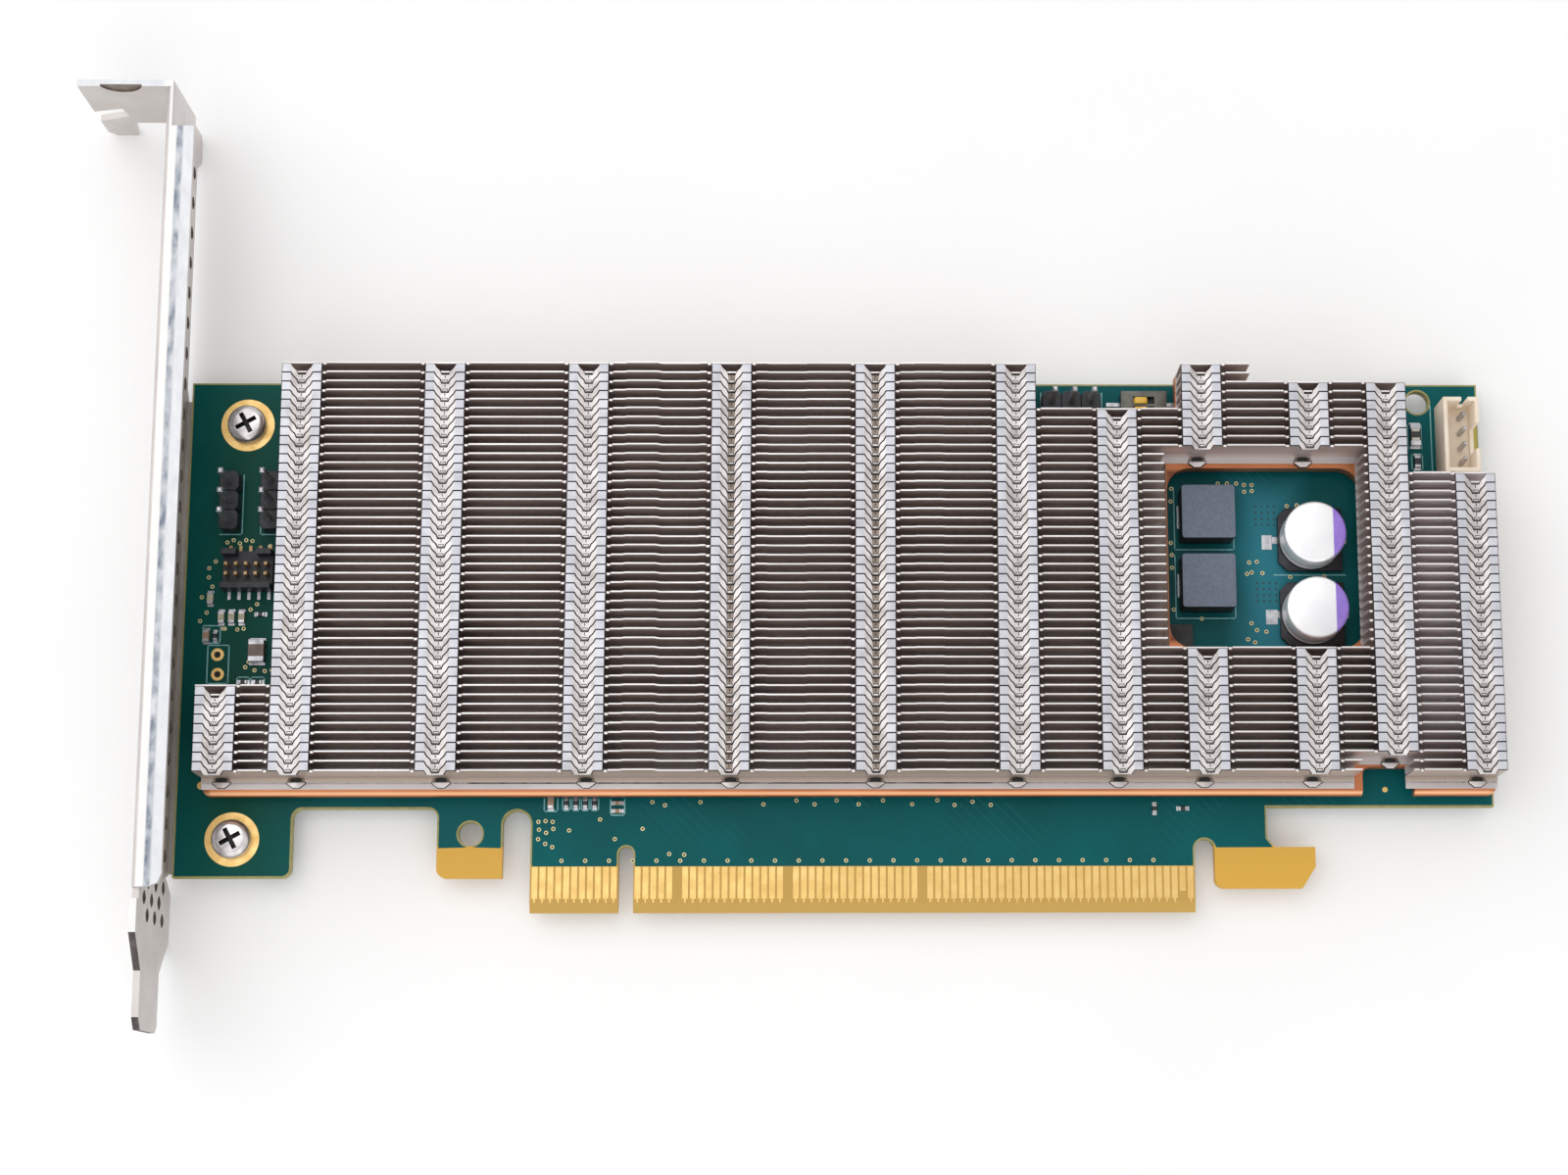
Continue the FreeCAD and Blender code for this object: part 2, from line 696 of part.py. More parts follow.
SWITCH = (123.70, 65.45)
SWITCH_LENGTH = 5.95
SWITCH_WIDTH = 3.80
SWITCH_HEIGHT = 2.60
SLOT_LENGTH = 2.70
SLOT_WIDTH = 0.95
SLOT_DEPTH = 0.90
SLIDER_LENGTH = 1.80
SLIDER_GAP = 0.06
SWITCH_PITCH = 1.27


def slider_place(which):
    return SWITCH[0], SWITCH[1] + (0.5 - which) * SWITCH_PITCH


def switch_body():
    body = block(SWITCH[0], SWITCH[1], 0.25, SWITCH_LENGTH, SWITCH_WIDTH, SWITCH_HEIGHT - 0.25)
    for which in (0, 1):
        x, y = slider_place(which)
        body = body.cut(block(x, y, SWITCH_HEIGHT - SLOT_DEPTH, SLOT_LENGTH, SLOT_WIDTH, 2))
    return body


def switch_slider(which):
    """A slider in its slot, pushed to the bracket end, with a raised nib."""
    x, y = slider_place(which)
    x0 = x - SLOT_LENGTH / 2 + SLIDER_GAP
    floor = SWITCH_HEIGHT - SLOT_DEPTH + SLIDER_GAP
    width = SLOT_WIDTH - 2 * SLIDER_GAP
    bar = box(x0, y - width / 2, floor, x0 + SLIDER_LENGTH, y + width / 2, SWITCH_HEIGHT - 0.25)
    nib = box(x0 + 0.15, y - width / 2, SWITCH_HEIGHT - 0.3, x0 + SLIDER_LENGTH - 0.15, y + width / 2,
              SWITCH_HEIGHT + 0.15)
    return join([bar, nib])


SWITCH_LEAD_INSIDE = 0.4
SWITCH_LEAD_OUTSIDE = 1.7
SWITCH_LEAD_WIDTH = 0.50
SWITCH_LEAD_THICK = 0.25


def switch_leads():
    leads = []
    for which in (0, 1):
        x, y = slider_place(which)
        for side in (-1, 1):
            edge = x + side * SWITCH_LENGTH / 2
            inner = edge - side * SWITCH_LEAD_INSIDE
            outer = edge + side * SWITCH_LEAD_OUTSIDE
            leads.append(box(min(inner, outer), y - SWITCH_LEAD_WIDTH / 2, 0,
                             max(inner, outer), y + SWITCH_LEAD_WIDTH / 2, SWITCH_LEAD_THICK))
    return group(leads)


# ---------------------------------------------------------------------------- small parts

def small_parts(places, length, width, height):
    return group([block(x, y, 0, length, width, height) for x, y in places])


LEDS = [(3.45, 40.30), (4.95, 37.85), (6.25, 37.85), (7.55, 37.85)]
CAPS_UP = [(3.15, 35.42), (47.55, 13.95)]
CAPS_ALONG = [(56.00, 13.85), (56.00, 12.85)]
CHIPS_UP = [(4.25, 35.42), (49.50, 13.85), (50.70, 13.85), (51.90, 13.85), (53.10, 13.85), (124.25, 13.10)]
CHIPS_ALONG = [(9.92, 38.25), (8.00, 29.45), (9.85, 29.45), (127.85, 13.10)]
END_RESISTOR = (159.45, 58.45)
FUSE = (159.35, 62.00)
LARGE_CAPACITOR = (9.70, 33.40)
REGULATOR = (127.90, 35.15)
REGULATOR_LENGTH = 3.4
REGULATOR_WIDTH = 3.3
REGULATOR_HEIGHT = 0.9


def chip_capacitors():
    up = small_parts(CAPS_UP, 0.8, 1.55, 0.75).Solids
    along = small_parts(CAPS_ALONG, 1.0, 0.5, 0.5).Solids
    return group(up + along)


def chip_resistors():
    up = small_parts(CHIPS_UP, 0.55, 1.05, 0.4).Solids
    along = small_parts(CHIPS_ALONG, 1.05, 0.55, 0.4).Solids
    at_end = small_parts([END_RESISTOR], 1.7, 0.85, 0.5).Solids
    return group(up + along + at_end)


# ---------------------------------------------------------------------------- all parts

save("circuit_board", circuit_board())
save("contacts_component_side", contacts())
save("bracket", bracket())
save("bracket_screws", bracket_screws())
save("heatsink_base", base_plate())
save("heatsink_screws", heatsink_screws())
save("fins_rear", fins(range(0, 5), 0))
save("fins_rear_corner", fins(range(0, 5), 1))
save("fins_behind_window", fins(range(5, 10)))
save("fins_beside_window", fins(range(10, 31), 0))
save("fins_window_end", fins(range(10, 31), 1))
save("fins_before_window", fins(range(31, 35)))
save("fins_front", fins(range(35, FIN_ROWS)))
save("accelerator_chips", chips())
save("thermal_pads", chip_pads())
save("bridge_chip", block(*BRIDGE, 0, BRIDGE_SIZE, BRIDGE_SIZE, CHIP_HEIGHT))
save("bridge_thermal_pad", block(*BRIDGE, CHIP_HEIGHT, BRIDGE_SIZE - 1, BRIDGE_SIZE - 1, PAD_THICK))
save("inductors", inductors())
save("inductor_terminals", inductor_terminals())
save("capacitor_cans", capacitor_cans())
save("capacitor_bases", capacitor_bases())
save("capacitor_leads", capacitor_leads())
save("regulator_chip", block(*REGULATOR, 0, REGULATOR_LENGTH, REGULATOR_WIDTH, REGULATOR_HEIGHT))
save("left_header_bodies", group([pin_header(x, y, True) for x, y in LEFT_HEADERS]))
save("top_header_body", pin_header(*TOP_HEADER, False))
save("header_pins", header_pins())
save("debug_header_body", debug_header_body())
save("debug_header_pins", debug_header_pins())
save("fan_header_housing", fan_header_housing())
save("fan_header_pins", fan_header_pins())
save("switch_body", switch_body())
save("switch_leads", switch_leads())
save("switch_slider_1", switch_slider(0))
save("switch_slider_2", switch_slider(1))
save("status_leds", small_parts(LEDS, 0.8, 1.5, 0.6))
save("chip_capacitors", chip_capacitors())
save("chip_resistors", chip_resistors())
save("fuse", block(*FUSE, 0, 1.6, 3.1, 0.9))
save("large_chip_capacitor", block(*LARGE_CAPACITOR, 0, 2.0, 2.9, 1.3))
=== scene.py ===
# The looks of a passive accelerator card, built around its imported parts.
# Metres, in the frame of the card; mm_at() turns the card's drawing places into that frame.

import bmesh
import bpy
import math
from mathutils import Matrix, Vector


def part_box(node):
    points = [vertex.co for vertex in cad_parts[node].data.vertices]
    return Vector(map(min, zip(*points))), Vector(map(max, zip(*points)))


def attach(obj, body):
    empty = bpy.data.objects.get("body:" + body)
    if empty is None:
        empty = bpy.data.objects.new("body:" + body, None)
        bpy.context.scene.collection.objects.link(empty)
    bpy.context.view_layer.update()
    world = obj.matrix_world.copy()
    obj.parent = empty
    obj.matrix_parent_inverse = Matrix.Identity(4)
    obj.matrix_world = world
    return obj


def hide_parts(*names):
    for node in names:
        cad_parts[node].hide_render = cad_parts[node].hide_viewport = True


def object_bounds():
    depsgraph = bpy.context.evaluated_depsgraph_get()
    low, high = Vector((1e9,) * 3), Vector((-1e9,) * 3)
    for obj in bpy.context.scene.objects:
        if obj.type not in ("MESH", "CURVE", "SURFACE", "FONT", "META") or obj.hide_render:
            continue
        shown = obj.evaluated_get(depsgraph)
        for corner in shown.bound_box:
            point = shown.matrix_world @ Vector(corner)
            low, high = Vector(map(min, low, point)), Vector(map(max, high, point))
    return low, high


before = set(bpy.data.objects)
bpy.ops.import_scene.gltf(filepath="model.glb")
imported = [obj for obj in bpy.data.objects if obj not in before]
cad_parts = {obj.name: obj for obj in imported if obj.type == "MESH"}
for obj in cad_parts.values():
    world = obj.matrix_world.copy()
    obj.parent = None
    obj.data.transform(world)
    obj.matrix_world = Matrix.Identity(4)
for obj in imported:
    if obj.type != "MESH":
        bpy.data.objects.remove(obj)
cad_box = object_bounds()
MM = 0.001
BOARD_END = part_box("circuit_board")[0].x


# ------------------------------------------------------------------ circuit board
# A glass-fibre laminate with teal-green solder mask on both faces. The mask stops short of the edges,
# of the screw holes and of the two bare tabs, so the amber laminate shows there.

def mm_at(x, y, z):
    """A place on the card's drawing: x from the bracket end, y from the contact tips, z from the board."""
    return Vector((BOARD_END + x * MM, y * MM, z * MM))


def colour(red, green, blue):
    """An everyday 0 to 255 colour as the renderer's linear light."""
    values = [v / 255 for v in (red, green, blue)]
    linear = [v / 12.92 if v <= 0.04045 else ((v + 0.055) / 1.055) ** 2.4 for v in values]
    return (*linear, 1)


def feed(tree, socket, value):
    """Links a socket to another node's output, or sets it to a plain value."""
    if isinstance(value, bpy.types.NodeSocket):
        tree.links.new(value, socket)
    else:
        socket.default_value = value


def reckon(tree, operation, first, second, kind="ShaderNodeMath"):
    """One operation on two numbers or, with the vector kind, on two places."""
    node = tree.nodes.new(kind)
    node.operation = operation
    feed(tree, node.inputs[0], first)
    feed(tree, node.inputs[1], second)
    return node.outputs[0]


def ranged(tree, value, seen=(0, 1), given=(0, 1)):
    """Turns one span of a value into another."""
    node = tree.nodes.new("ShaderNodeMapRange")
    feed(tree, node.inputs["Value"], value)
    for name, level in zip(("From Min", "From Max", "To Min", "To Max"), (*seen, *given)):
        node.inputs[name].default_value = level
    return node.outputs[0]


def mixed(tree, amount, first, second):
    """Two colours blended by a mask."""
    node = tree.nodes.new("ShaderNodeMix")
    node.data_type = "RGBA"
    feed(tree, node.inputs["Factor"], amount)
    feed(tree, node.inputs["A"], first)
    feed(tree, node.inputs["B"], second)
    return node.outputs["Result"]


def noise(tree, place, scale, detail):
    """A soft uneven pattern over the surface."""
    node = tree.nodes.new("ShaderNodeTexNoise")
    feed(tree, node.inputs["Vector"], place)
    feed(tree, node.inputs["Scale"], scale)
    node.inputs["Detail"].default_value = detail
    return node.outputs["Fac"]


def node_group(name, inputs, outputs):
    """A new node group with named sockets, given with the sockets of its two ends."""
    tree = bpy.data.node_groups.new(name, "ShaderNodeTree")
    for way, sockets in (("INPUT", inputs), ("OUTPUT", outputs)):
        for socket, kind in sockets.items():
            tree.interface.new_socket(name=socket, in_out=way, socket_type="NodeSocket" + kind)
    return tree, tree.nodes.new("NodeGroupInput").outputs, tree.nodes.new("NodeGroupOutput").inputs


def grain_group():
    """Broad and fine unevenness, stretched along the way that the surface was worked."""
    tree, given, result = node_group(
        "grain", {"Scale": "Float", "Stretch": "Vector"}, {"Shade": "Float", "Height": "Float"})
    place = tree.nodes.new("ShaderNodeTexCoord").outputs["Object"]
    stretched = reckon(tree, "MULTIPLY", place, given["Stretch"], "ShaderNodeVectorMath")
    fine_scale = reckon(tree, "MULTIPLY", given["Scale"], 7)
    broad = noise(tree, stretched, given["Scale"], 5)
    feed(tree, result["Shade"], ranged(tree, broad, (0.3, 0.7)))
    feed(tree, result["Height"], noise(tree, stretched, fine_scale, 2))
    return tree


def zone_group():
    """A mask that is 1 inside a box of x and y and falls to 0 over the softness of its edge."""
    tree, given, result = node_group(
        "zone", {"Low": "Vector", "High": "Vector", "Softness": "Float"}, {"Mask": "Float"})
    place = tree.nodes.new("ShaderNodeTexCoord").outputs["Object"]
    from_low = reckon(tree, "SUBTRACT", place, given["Low"], "ShaderNodeVectorMath")
    to_high = reckon(tree, "SUBTRACT", given["High"], place, "ShaderNodeVectorMath")
    split = tree.nodes.new("ShaderNodeSeparateXYZ")
    feed(tree, split.inputs[0], reckon(tree, "MINIMUM", from_low, to_high, "ShaderNodeVectorMath"))
    depth = reckon(tree, "MINIMUM", split.outputs["X"], split.outputs["Y"])
    share = reckon(tree, "DIVIDE", depth, given["Softness"])
    feed(tree, result["Mask"], ranged(tree, share, (-1, 1)))
    return tree


GRAIN = grain_group()
ZONE = zone_group()
RELIEF = 0.02


def finish_of(name, first, second, rough=(0.4, 0.55), metal=0.0, scale=300, stretch=(1, 1, 1), bump=0.1):
    """A finish that wanders between two colours and two roughnesses, with a fine grain in relief."""
    material = bpy.data.materials.new(name)
    material.use_nodes = True
    tree = material.node_tree
    shader = tree.nodes["Principled BSDF"]
    shader.inputs["Metallic"].default_value = metal
    grain = tree.nodes.new("ShaderNodeGroup")
    grain.name = "grain"
    grain.node_tree = GRAIN
    grain.inputs["Scale"].default_value = scale
    grain.inputs["Stretch"].default_value = stretch
    shade = grain.outputs["Shade"]
    feed(tree, shader.inputs["Base Color"], mixed(tree, shade, colour(*first), colour(*second)))
    feed(tree, shader.inputs["Roughness"], ranged(tree, shade, given=rough))
    relief = tree.nodes.new("ShaderNodeBump")
    relief.inputs["Strength"].default_value = bump
    relief.inputs["Distance"].default_value = RELIEF * MM
    feed(tree, relief.inputs["Height"], grain.outputs["Height"])
    feed(tree, shader.inputs["Normal"], relief.outputs["Normal"])
    return material


def zone(tree, low, high, soft):
    """The zone mask for a box of the drawing's x and y, in millimetres."""
    area = tree.nodes.new("ShaderNodeGroup")
    area.node_tree = ZONE
    area.inputs["Low"].default_value = mm_at(*low, 0)
    area.inputs["High"].default_value = mm_at(*high, 0)
    area.inputs["Softness"].default_value = soft * MM
    return area.outputs["Mask"]


def lay_over(material, shade, amount):
    """Lays one more colour over a finish, as far as the amount says."""
    tree = material.node_tree
    base = tree.nodes["Principled BSDF"].inputs["Base Color"]
    feed(tree, base, mixed(tree, amount, base.links[0].from_socket, colour(*shade)))


def paint_zone(material, low, high, shade, soft=0.02, broken=False):
    """Lays a colour over a finish inside a box of the drawing's x and y; broken leaves it patchy."""
    tree = material.node_tree
    amount = zone(tree, low, high, soft)
    if broken:
        amount = reckon(tree, "MULTIPLY", amount, tree.nodes["grain"].outputs["Shade"])
    lay_over(material, shade, amount)


def coat(piece, material, wanted=None):
    """Gives a piece one finish all over, or a further finish on the faces that wanted() accepts."""
    if wanted is None:
        piece.data.materials.clear()
        piece.data.materials.append(material)
        return piece
    piece.data.materials.append(material)
    place = len(piece.data.materials) - 1
    for face in piece.data.polygons:
        if wanted(face):
            face.material_index = place
    return piece


def copy_of(source, name):
    """A second piece of the same shape, with a mesh of its own."""
    piece = bpy.data.objects.new(name, source.data.copy())
    bpy.context.scene.collection.objects.link(piece)
    return piece


def hold(*pieces):
    """Picks these pieces alone, the first of them to work on; with none, lets go of everything."""
    bpy.ops.object.select_all(action="DESELECT")
    for piece in pieces:
        piece.select_set(True)
    if pieces:
        bpy.context.view_layer.objects.active = pieces[0]


def open_up(piece):
    """Picks one piece alone and opens it for modelling."""
    hold(piece)
    bpy.ops.object.mode_set(mode="EDIT")


def close_up():
    """Ends the modelling of the piece that is open."""
    bpy.ops.object.mode_set(mode="OBJECT")


def pick(kind, wanted):
    """Selects the vertices, edges or faces that wanted() accepts, by their middle and by themselves."""
    mesh = bmesh.from_edit_mesh(bpy.context.object.data)
    bpy.ops.mesh.select_mode(type=kind)
    bpy.ops.mesh.select_all(action="DESELECT")
    if kind == "VERT":
        parts = [(vertex.co, vertex) for vertex in mesh.verts]
    elif kind == "EDGE":
        parts = [((edge.verts[0].co + edge.verts[1].co) / 2, edge) for edge in mesh.edges]
    else:
        parts = [(face.calc_center_median(), face) for face in mesh.faces]
    for middle, part in parts:
        part.select_set(bool(wanted(middle, part)))
    bmesh.update_edit_mesh(bpy.context.object.data)


def take_all():
    """Selects the whole of the open piece."""
    bpy.ops.mesh.select_all(action="SELECT")


def inset(width):
    """Draws a smaller outline inside the picked faces."""
    bpy.ops.mesh.inset(thickness=width * MM, depth=0)


def cut(place, normal, **settings):
    """Cuts the whole open piece along a plane."""
    take_all()
    bpy.ops.mesh.bisect(plane_co=place, plane_no=normal, **settings)


def weld(piece):
    """Merges a copied mesh's loose triangles into one skin with flat faces."""
    open_up(piece)
    take_all()
    bpy.ops.mesh.remove_doubles(threshold=0.0005 * MM)
    bpy.ops.mesh.dissolve_limited(angle_limit=math.radians(0.5))
    close_up()
    bpy.ops.mesh.customdata_custom_splitnormals_clear()
    return piece


def modify(piece, kind, **settings):
    """Adds a modifier with these settings and applies it."""
    change = piece.modifiers.new(kind.lower(), kind)
    for key, value in settings.items():
        setattr(change, key, value)
    hold(piece)
    bpy.ops.object.modifier_apply(modifier=change.name)
    return piece


def settle(piece, slot, *nodes, body="card"):
    """Smooths a finished piece's round parts, fixes it to its body and hides the nodes it stands for; its
    slot is not used."""
    hold(piece)
    bpy.ops.object.shade_smooth_by_angle(angle=math.radians(32))
    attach(piece, body)
    if nodes:
        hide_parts(*nodes)
    return piece


laminate = finish_of("board_laminate", (172, 164, 104), (150, 146, 88), (0.45, 0.6), scale=900, bump=0.15)
paint_zone(laminate, (33, 2), (42, 8.4), (222, 172, 66))
paint_zone(laminate, (131, 2), (146, 8.4), (224, 174, 64))
paint_zone(laminate, (44, -1), (129.6, 6.2), (200, 160, 76))
coat(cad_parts["circuit_board"], laminate)

MASK_THICK = 0.03
MASK_INSET = 0.22
TAB_LEFT = 33.3
TAB_RIGHT = 41.5
HOOK_TAB_LEFT = 131.6
TAB_BARE_Y = 8.17
TONGUE_BARE_Y = 5.85


def on_bare_part(middle, face):
    """Whether a piece of the mask lies where the tongue or a tab is left bare."""
    x = (middle.x - BOARD_END) / MM
    y = middle.y / MM
    on_tongue = TAB_RIGHT < x < HOOK_TAB_LEFT and y < TONGUE_BARE_Y
    on_tab = y < TAB_BARE_Y and (TAB_LEFT < x < TAB_RIGHT or x > HOOK_TAB_LEFT)
    return on_tongue or on_tab


mask = weld(copy_of(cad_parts["circuit_board"], "solder_mask"))
open_up(mask)
pick("FACE", lambda middle, face: abs(face.normal.z) < 0.99)
bpy.ops.mesh.delete(type="FACE")
take_all()
inset(MASK_INSET)
bpy.ops.mesh.select_all(action="INVERT")
bpy.ops.mesh.delete(type="FACE")
for bare_y in (TAB_BARE_Y, TONGUE_BARE_Y):
    cut(mm_at(0, bare_y, 0), (0, 1, 0))
for bare_x in (TAB_LEFT, HOOK_TAB_LEFT):
    cut(mm_at(bare_x, 0, 0), (1, 0, 0))
pick("FACE", on_bare_part)
bpy.ops.mesh.delete(type="FACE")
close_up()
modify(mask, "SOLIDIFY", thickness=MASK_THICK * MM, offset=1)


def mask_finish(name):
    """Teal lacquer over copper: bundles of fine tracks show through it as lighter lines."""
    material = finish_of(name, (0, 82, 84), (4, 98, 101), (0.3, 0.45), scale=90, bump=0.05)
    tree = material.node_tree
    place = tree.nodes.new("ShaderNodeTexCoord").outputs["Object"]
    tracks = tree.nodes.new("ShaderNodeTexWave")
    tracks.bands_direction = "DIAGONAL"
    tracks.inputs["Scale"].default_value = 420
    feed(tree, tracks.inputs["Vector"], place)
    thin = ranged(tree, tracks.outputs["Fac"], (0.86, 0.94))
    bundles = ranged(tree, noise(tree, place, 75, 0), (0.55, 0.57))
    lines = reckon(tree, "MULTIPLY", thin, bundles)
    inner_board = zone(tree, (52, 9), (160, 70), 6)
    lay_over(material, (16, 98, 104), reckon(tree, "MULTIPLY", lines, inner_board))
    tree.nodes["Principled BSDF"].inputs["Specular IOR Level"].default_value = 0.12
    return material


mask_over = mask_finish("solder_mask")
paint_zone(mask_over, (1, 2), (14, 70), (0, 76, 62), 6)
paint_zone(mask_over, (136, 32), (143, 55), (48, 128, 144), 2.5)
paint_zone(mask_over, (166.75, 59.2), (168, 64.6), (196, 182, 92), 0.08)
coat(mask, mask_over)
coat(mask, mask_finish("solder_mask_under"), lambda face: face.center.z < mm_at(0, 0, -0.5).z)
settle(mask, "board")


# ------------------------------------------------------------------ gold contacts
# Hard gold over nickel on both faces of the tongue. Each contact ends in the thin tail left from its
# plating bar, and the first one on the solder side is shorter, so that it meets last.

def placed(name):
    """The shape just added, named, with its place and size taken into its mesh."""
    piece = bpy.context.object
    piece.name = name
    bpy.ops.object.transform_apply(location=True, rotation=True, scale=True)
    return piece


def block(name, low, high):
    """A square-edged solid between two places of the card's drawing."""
    low, high = mm_at(*low), mm_at(*high)
    hold()
    bpy.ops.mesh.primitive_cube_add(size=1, location=(low + high) / 2, scale=high - low)
    return placed(name)


def row_of(piece, count, step):
    """Repeats a piece at even steps, in millimetres."""
    return modify(piece, "ARRAY", count=count, use_relative_offset=False, use_constant_offset=True,
                  constant_offset_displace=[part * MM for part in step])


def join(name, pieces):
    """Makes one piece of several."""
    hold(*pieces)
    if len(pieces) > 1:
        bpy.ops.object.join()
    pieces[0].name = name
    return pieces[0]


gold = finish_of("contact_gold", (238, 202, 128), (220, 180, 104), (0.22, 0.36), metal=0.55, scale=500,
                 bump=0.05)
coat(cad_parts["contacts_component_side"], gold)
KEY_X = 57.15
BEFORE_KEY = 11
FIRST_CONTACT_X = KEY_X - 11.5
CONTACT_WIDTH = 0.75
CONTACT_THICK = 0.05
CONTACT_TOP_Y = 5.80
CONTACT_TIP_Y = 1.73
SHORT_TIP_Y = 2.63
TAIL_WIDTH = 0.22
TAIL_THICK = 0.03
TAIL_END_Y = 1.26
solder_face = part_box("circuit_board")[0].z / MM


def contact_x(number):
    """Where a contact stands: 1 mm from the next, with two places lost to the key notch."""
    return FIRST_CONTACT_X + (number - 1) + (2 if number > BEFORE_KEY else 0)


def contact_row(first, last, width, low_y, high_y, low_z, high_z):
    """A run of contacts or tails, from one number to another."""
    x = contact_x(first)
    pad = block("contact", (x - width / 2, low_y, low_z), (x + width / 2, high_y, high_z))
    return row_of(pad, last - first + 1, (1, 0, 0))


solder_side = join("contacts_solder_side", [
    contact_row(first, last, CONTACT_WIDTH, tip_y, CONTACT_TOP_Y, solder_face - CONTACT_THICK, solder_face)
    for first, last, tip_y in ((1, 1, SHORT_TIP_Y), (2, 11, CONTACT_TIP_Y), (12, 82, CONTACT_TIP_Y))])
settle(coat(solder_side, gold), "gold")
tails = join("contact_tails", [
    contact_row(first, last, TAIL_WIDTH, TAIL_END_Y, CONTACT_TIP_Y, 0, TAIL_THICK)
    for first, last in ((1, 11), (12, 16), (18, 30), (32, 47), (49, 80), (82, 82))])
settle(coat(tails, gold), "gold")


# ------------------------------------------------------------------ copper on the board
# Bare plated copper that the mask leaves open: rings round the bracket screws, a pair of plated holes,
# small plated vias, a fiducial and the solder lands of the larger parts.

def ring(x, y, inner, outer, low, high, sides=32):
    """A flat washer of copper, drawn as a disc whose middle is inset and taken out."""
    hold()
    bpy.ops.mesh.primitive_circle_add(vertices=sides, radius=outer * MM, fill_type="NGON",
                                      location=mm_at(x, y, low))
    piece = placed("ring")
    open_up(piece)
    take_all()
    inset(outer - inner)
    bpy.ops.mesh.delete(type="FACE")
    close_up()
    return modify(piece, "SOLIDIFY", thickness=(high - low) * MM, offset=1)


def disc(x, y, radius, low, high, sides=16):
    """A plain round solid, from a low stud or a filled hole to a can."""
    hold()
    bpy.ops.mesh.primitive_cylinder_add(vertices=sides, radius=radius * MM, depth=(high - low) * MM,
                                        location=mm_at(x, y, (low + high) / 2))
    return placed("disc")


def shift(piece, x, y):
    """Moves a piece's mesh over the board, in millimetres."""
    piece.data.transform(Matrix.Translation((x * MM, y * MM, 0)))
    return piece


COPPER_Z = MASK_THICK + 0.015
EYE_Z = COPPER_Z - 0.008
plated = finish_of("plated_copper", (250, 212, 140), (232, 188, 108), (0.25, 0.4), metal=0.5, scale=700,
                   bump=0.05)
via_plating = finish_of("via_plating", (240, 230, 178), (216, 202, 146), (0.3, 0.45), metal=0.25, scale=900,
                        bump=0.05)
# Painted shade: a near-black finish for the discs set in the via holes, the plated pair's holes and the fin
# locks' eyes, standing in for the shade inside those holes.
hole_shade = finish_of("hole_shade", (14, 14, 12), (26, 24, 20), (0.6, 0.8), scale=900)
sunk_green = finish_of("covered_via_green", (3, 50, 52), (5, 60, 62), (0.3, 0.45), scale=900)
bracket_holes = [(7.35, 63.25), (7.35, 9.30)]
plated_pair = [(4.59, 33.02), (4.69, 30.48)]
rings = [ring(x, y, 2.5, 3.45, MASK_THICK, COPPER_Z, 48) for x, y in bracket_holes]
rings += [ring(x, y, 0.42, 0.82, MASK_THICK, COPPER_Z, 24) for x, y in plated_pair]
rings.append(disc(3.18, 16.15, 0.5, MASK_THICK, COPPER_Z, 24))
rings.append(disc(153.8, 15.5, 0.35, MASK_THICK, COPPER_Z, 16))
settle(coat(join("copper_rings", rings), plated), "gold")

via_places = [(49.0 + 1.0 * k, 6.55) for k in range(0, 78, 3)]
via_places += [
    (x, 13.7 + 0.5 * (k % 2)) for k, x in enumerate((74.5, 78.7, 81.0, 83.8, 86.6, 89.7, 93.4, 96.6))]
via_places += [(x, 13.6 + 0.4 * (k % 2)) for k, x in enumerate((98.8, 101.1, 103.4, 60.4, 62.0, 66.5))]
via_places += [
    (5.3, 47.7), (6.1, 48.0), (6.9, 47.6), (7.7, 48.0), (8.5, 47.9), (10.8, 47.2), (3.1, 44.3),
    (3.9, 45.2), (3.1, 43.1), (2.3, 40.5), (3.6, 41.9), (3.0, 38.5), (2.2, 37.4), (5.4, 36.4),
    (8.6, 38.9), (9.4, 39.6), (5.2, 36.4), (7.0, 36.3), (7.8, 36.4), (8.6, 32.1), (8.2, 31.4),
    (9.4, 31.0), (10.7, 30.9), (11.6, 31.0), (136.9, 43.6), (137.5, 43.8), (137.2, 45.1), (138.2, 45.2),
    (138.9, 43.7), (137.3, 37.1), (138.0, 36.2), (136.8, 35.0), (137.7, 34.6), (139.2, 36.0),
    (142.5, 43.2), (146.9, 43.3), (148.3, 40.6), (148.9, 47.0), (142.3, 52.6), (143.6, 52.7),
    (145.4, 52.6), (147.6, 51.6), (148.6, 49.8), (148.8, 44.5), (149.2, 37.9), (127.3, 54.9),
    (127.2, 53.2), (127.1, 47.7), (127.2, 46.1), (127.2, 44.4), (127.3, 38.9), (130.9, 37.7),
    (133.4, 55.6), (134.6, 55.6), (135.8, 55.6), (136.8, 55.4), (137.8, 54.6), (136.8, 54.5),
    (137.8, 55.4), (46.0, 11.5), (46.9, 11.6), (47.8, 11.5), (46.1, 10.5), (47.0, 10.1), (47.9, 10.6),
    (46.0, 9.3), (46.9, 8.7), (47.8, 8.3), (49.9, 10.4), (53.8, 11.8), (55.7, 9.3), (59.2, 10.6),
    (62.6, 7.4), (64.5, 7.3)]
covered_places = [
    (x, y) for x in (138.2, 139.0, 139.8, 140.6) for y in (52.5, 51.7, 50.9, 50.1, 42.4, 41.6, 40.8, 40.0)]
first_ring = ring(0, 0, 0.15, 0.27, MASK_THICK, COPPER_Z, 10)
first_eye = disc(0, 0, 0.16, MASK_THICK, EYE_Z, 8)
via_rings = [shift(copy_of(first_ring, "via"), x, y) for x, y in via_places]
via_eyes = [shift(copy_of(first_eye, "via"), x, y) for x, y in via_places]
covered_vias = [shift(copy_of(first_eye, "covered_via"), x, y) for x, y in covered_places]
bpy.data.objects.remove(first_ring)
bpy.data.objects.remove(first_eye)
settle(coat(join("via_rings", via_rings), via_plating), "gold")
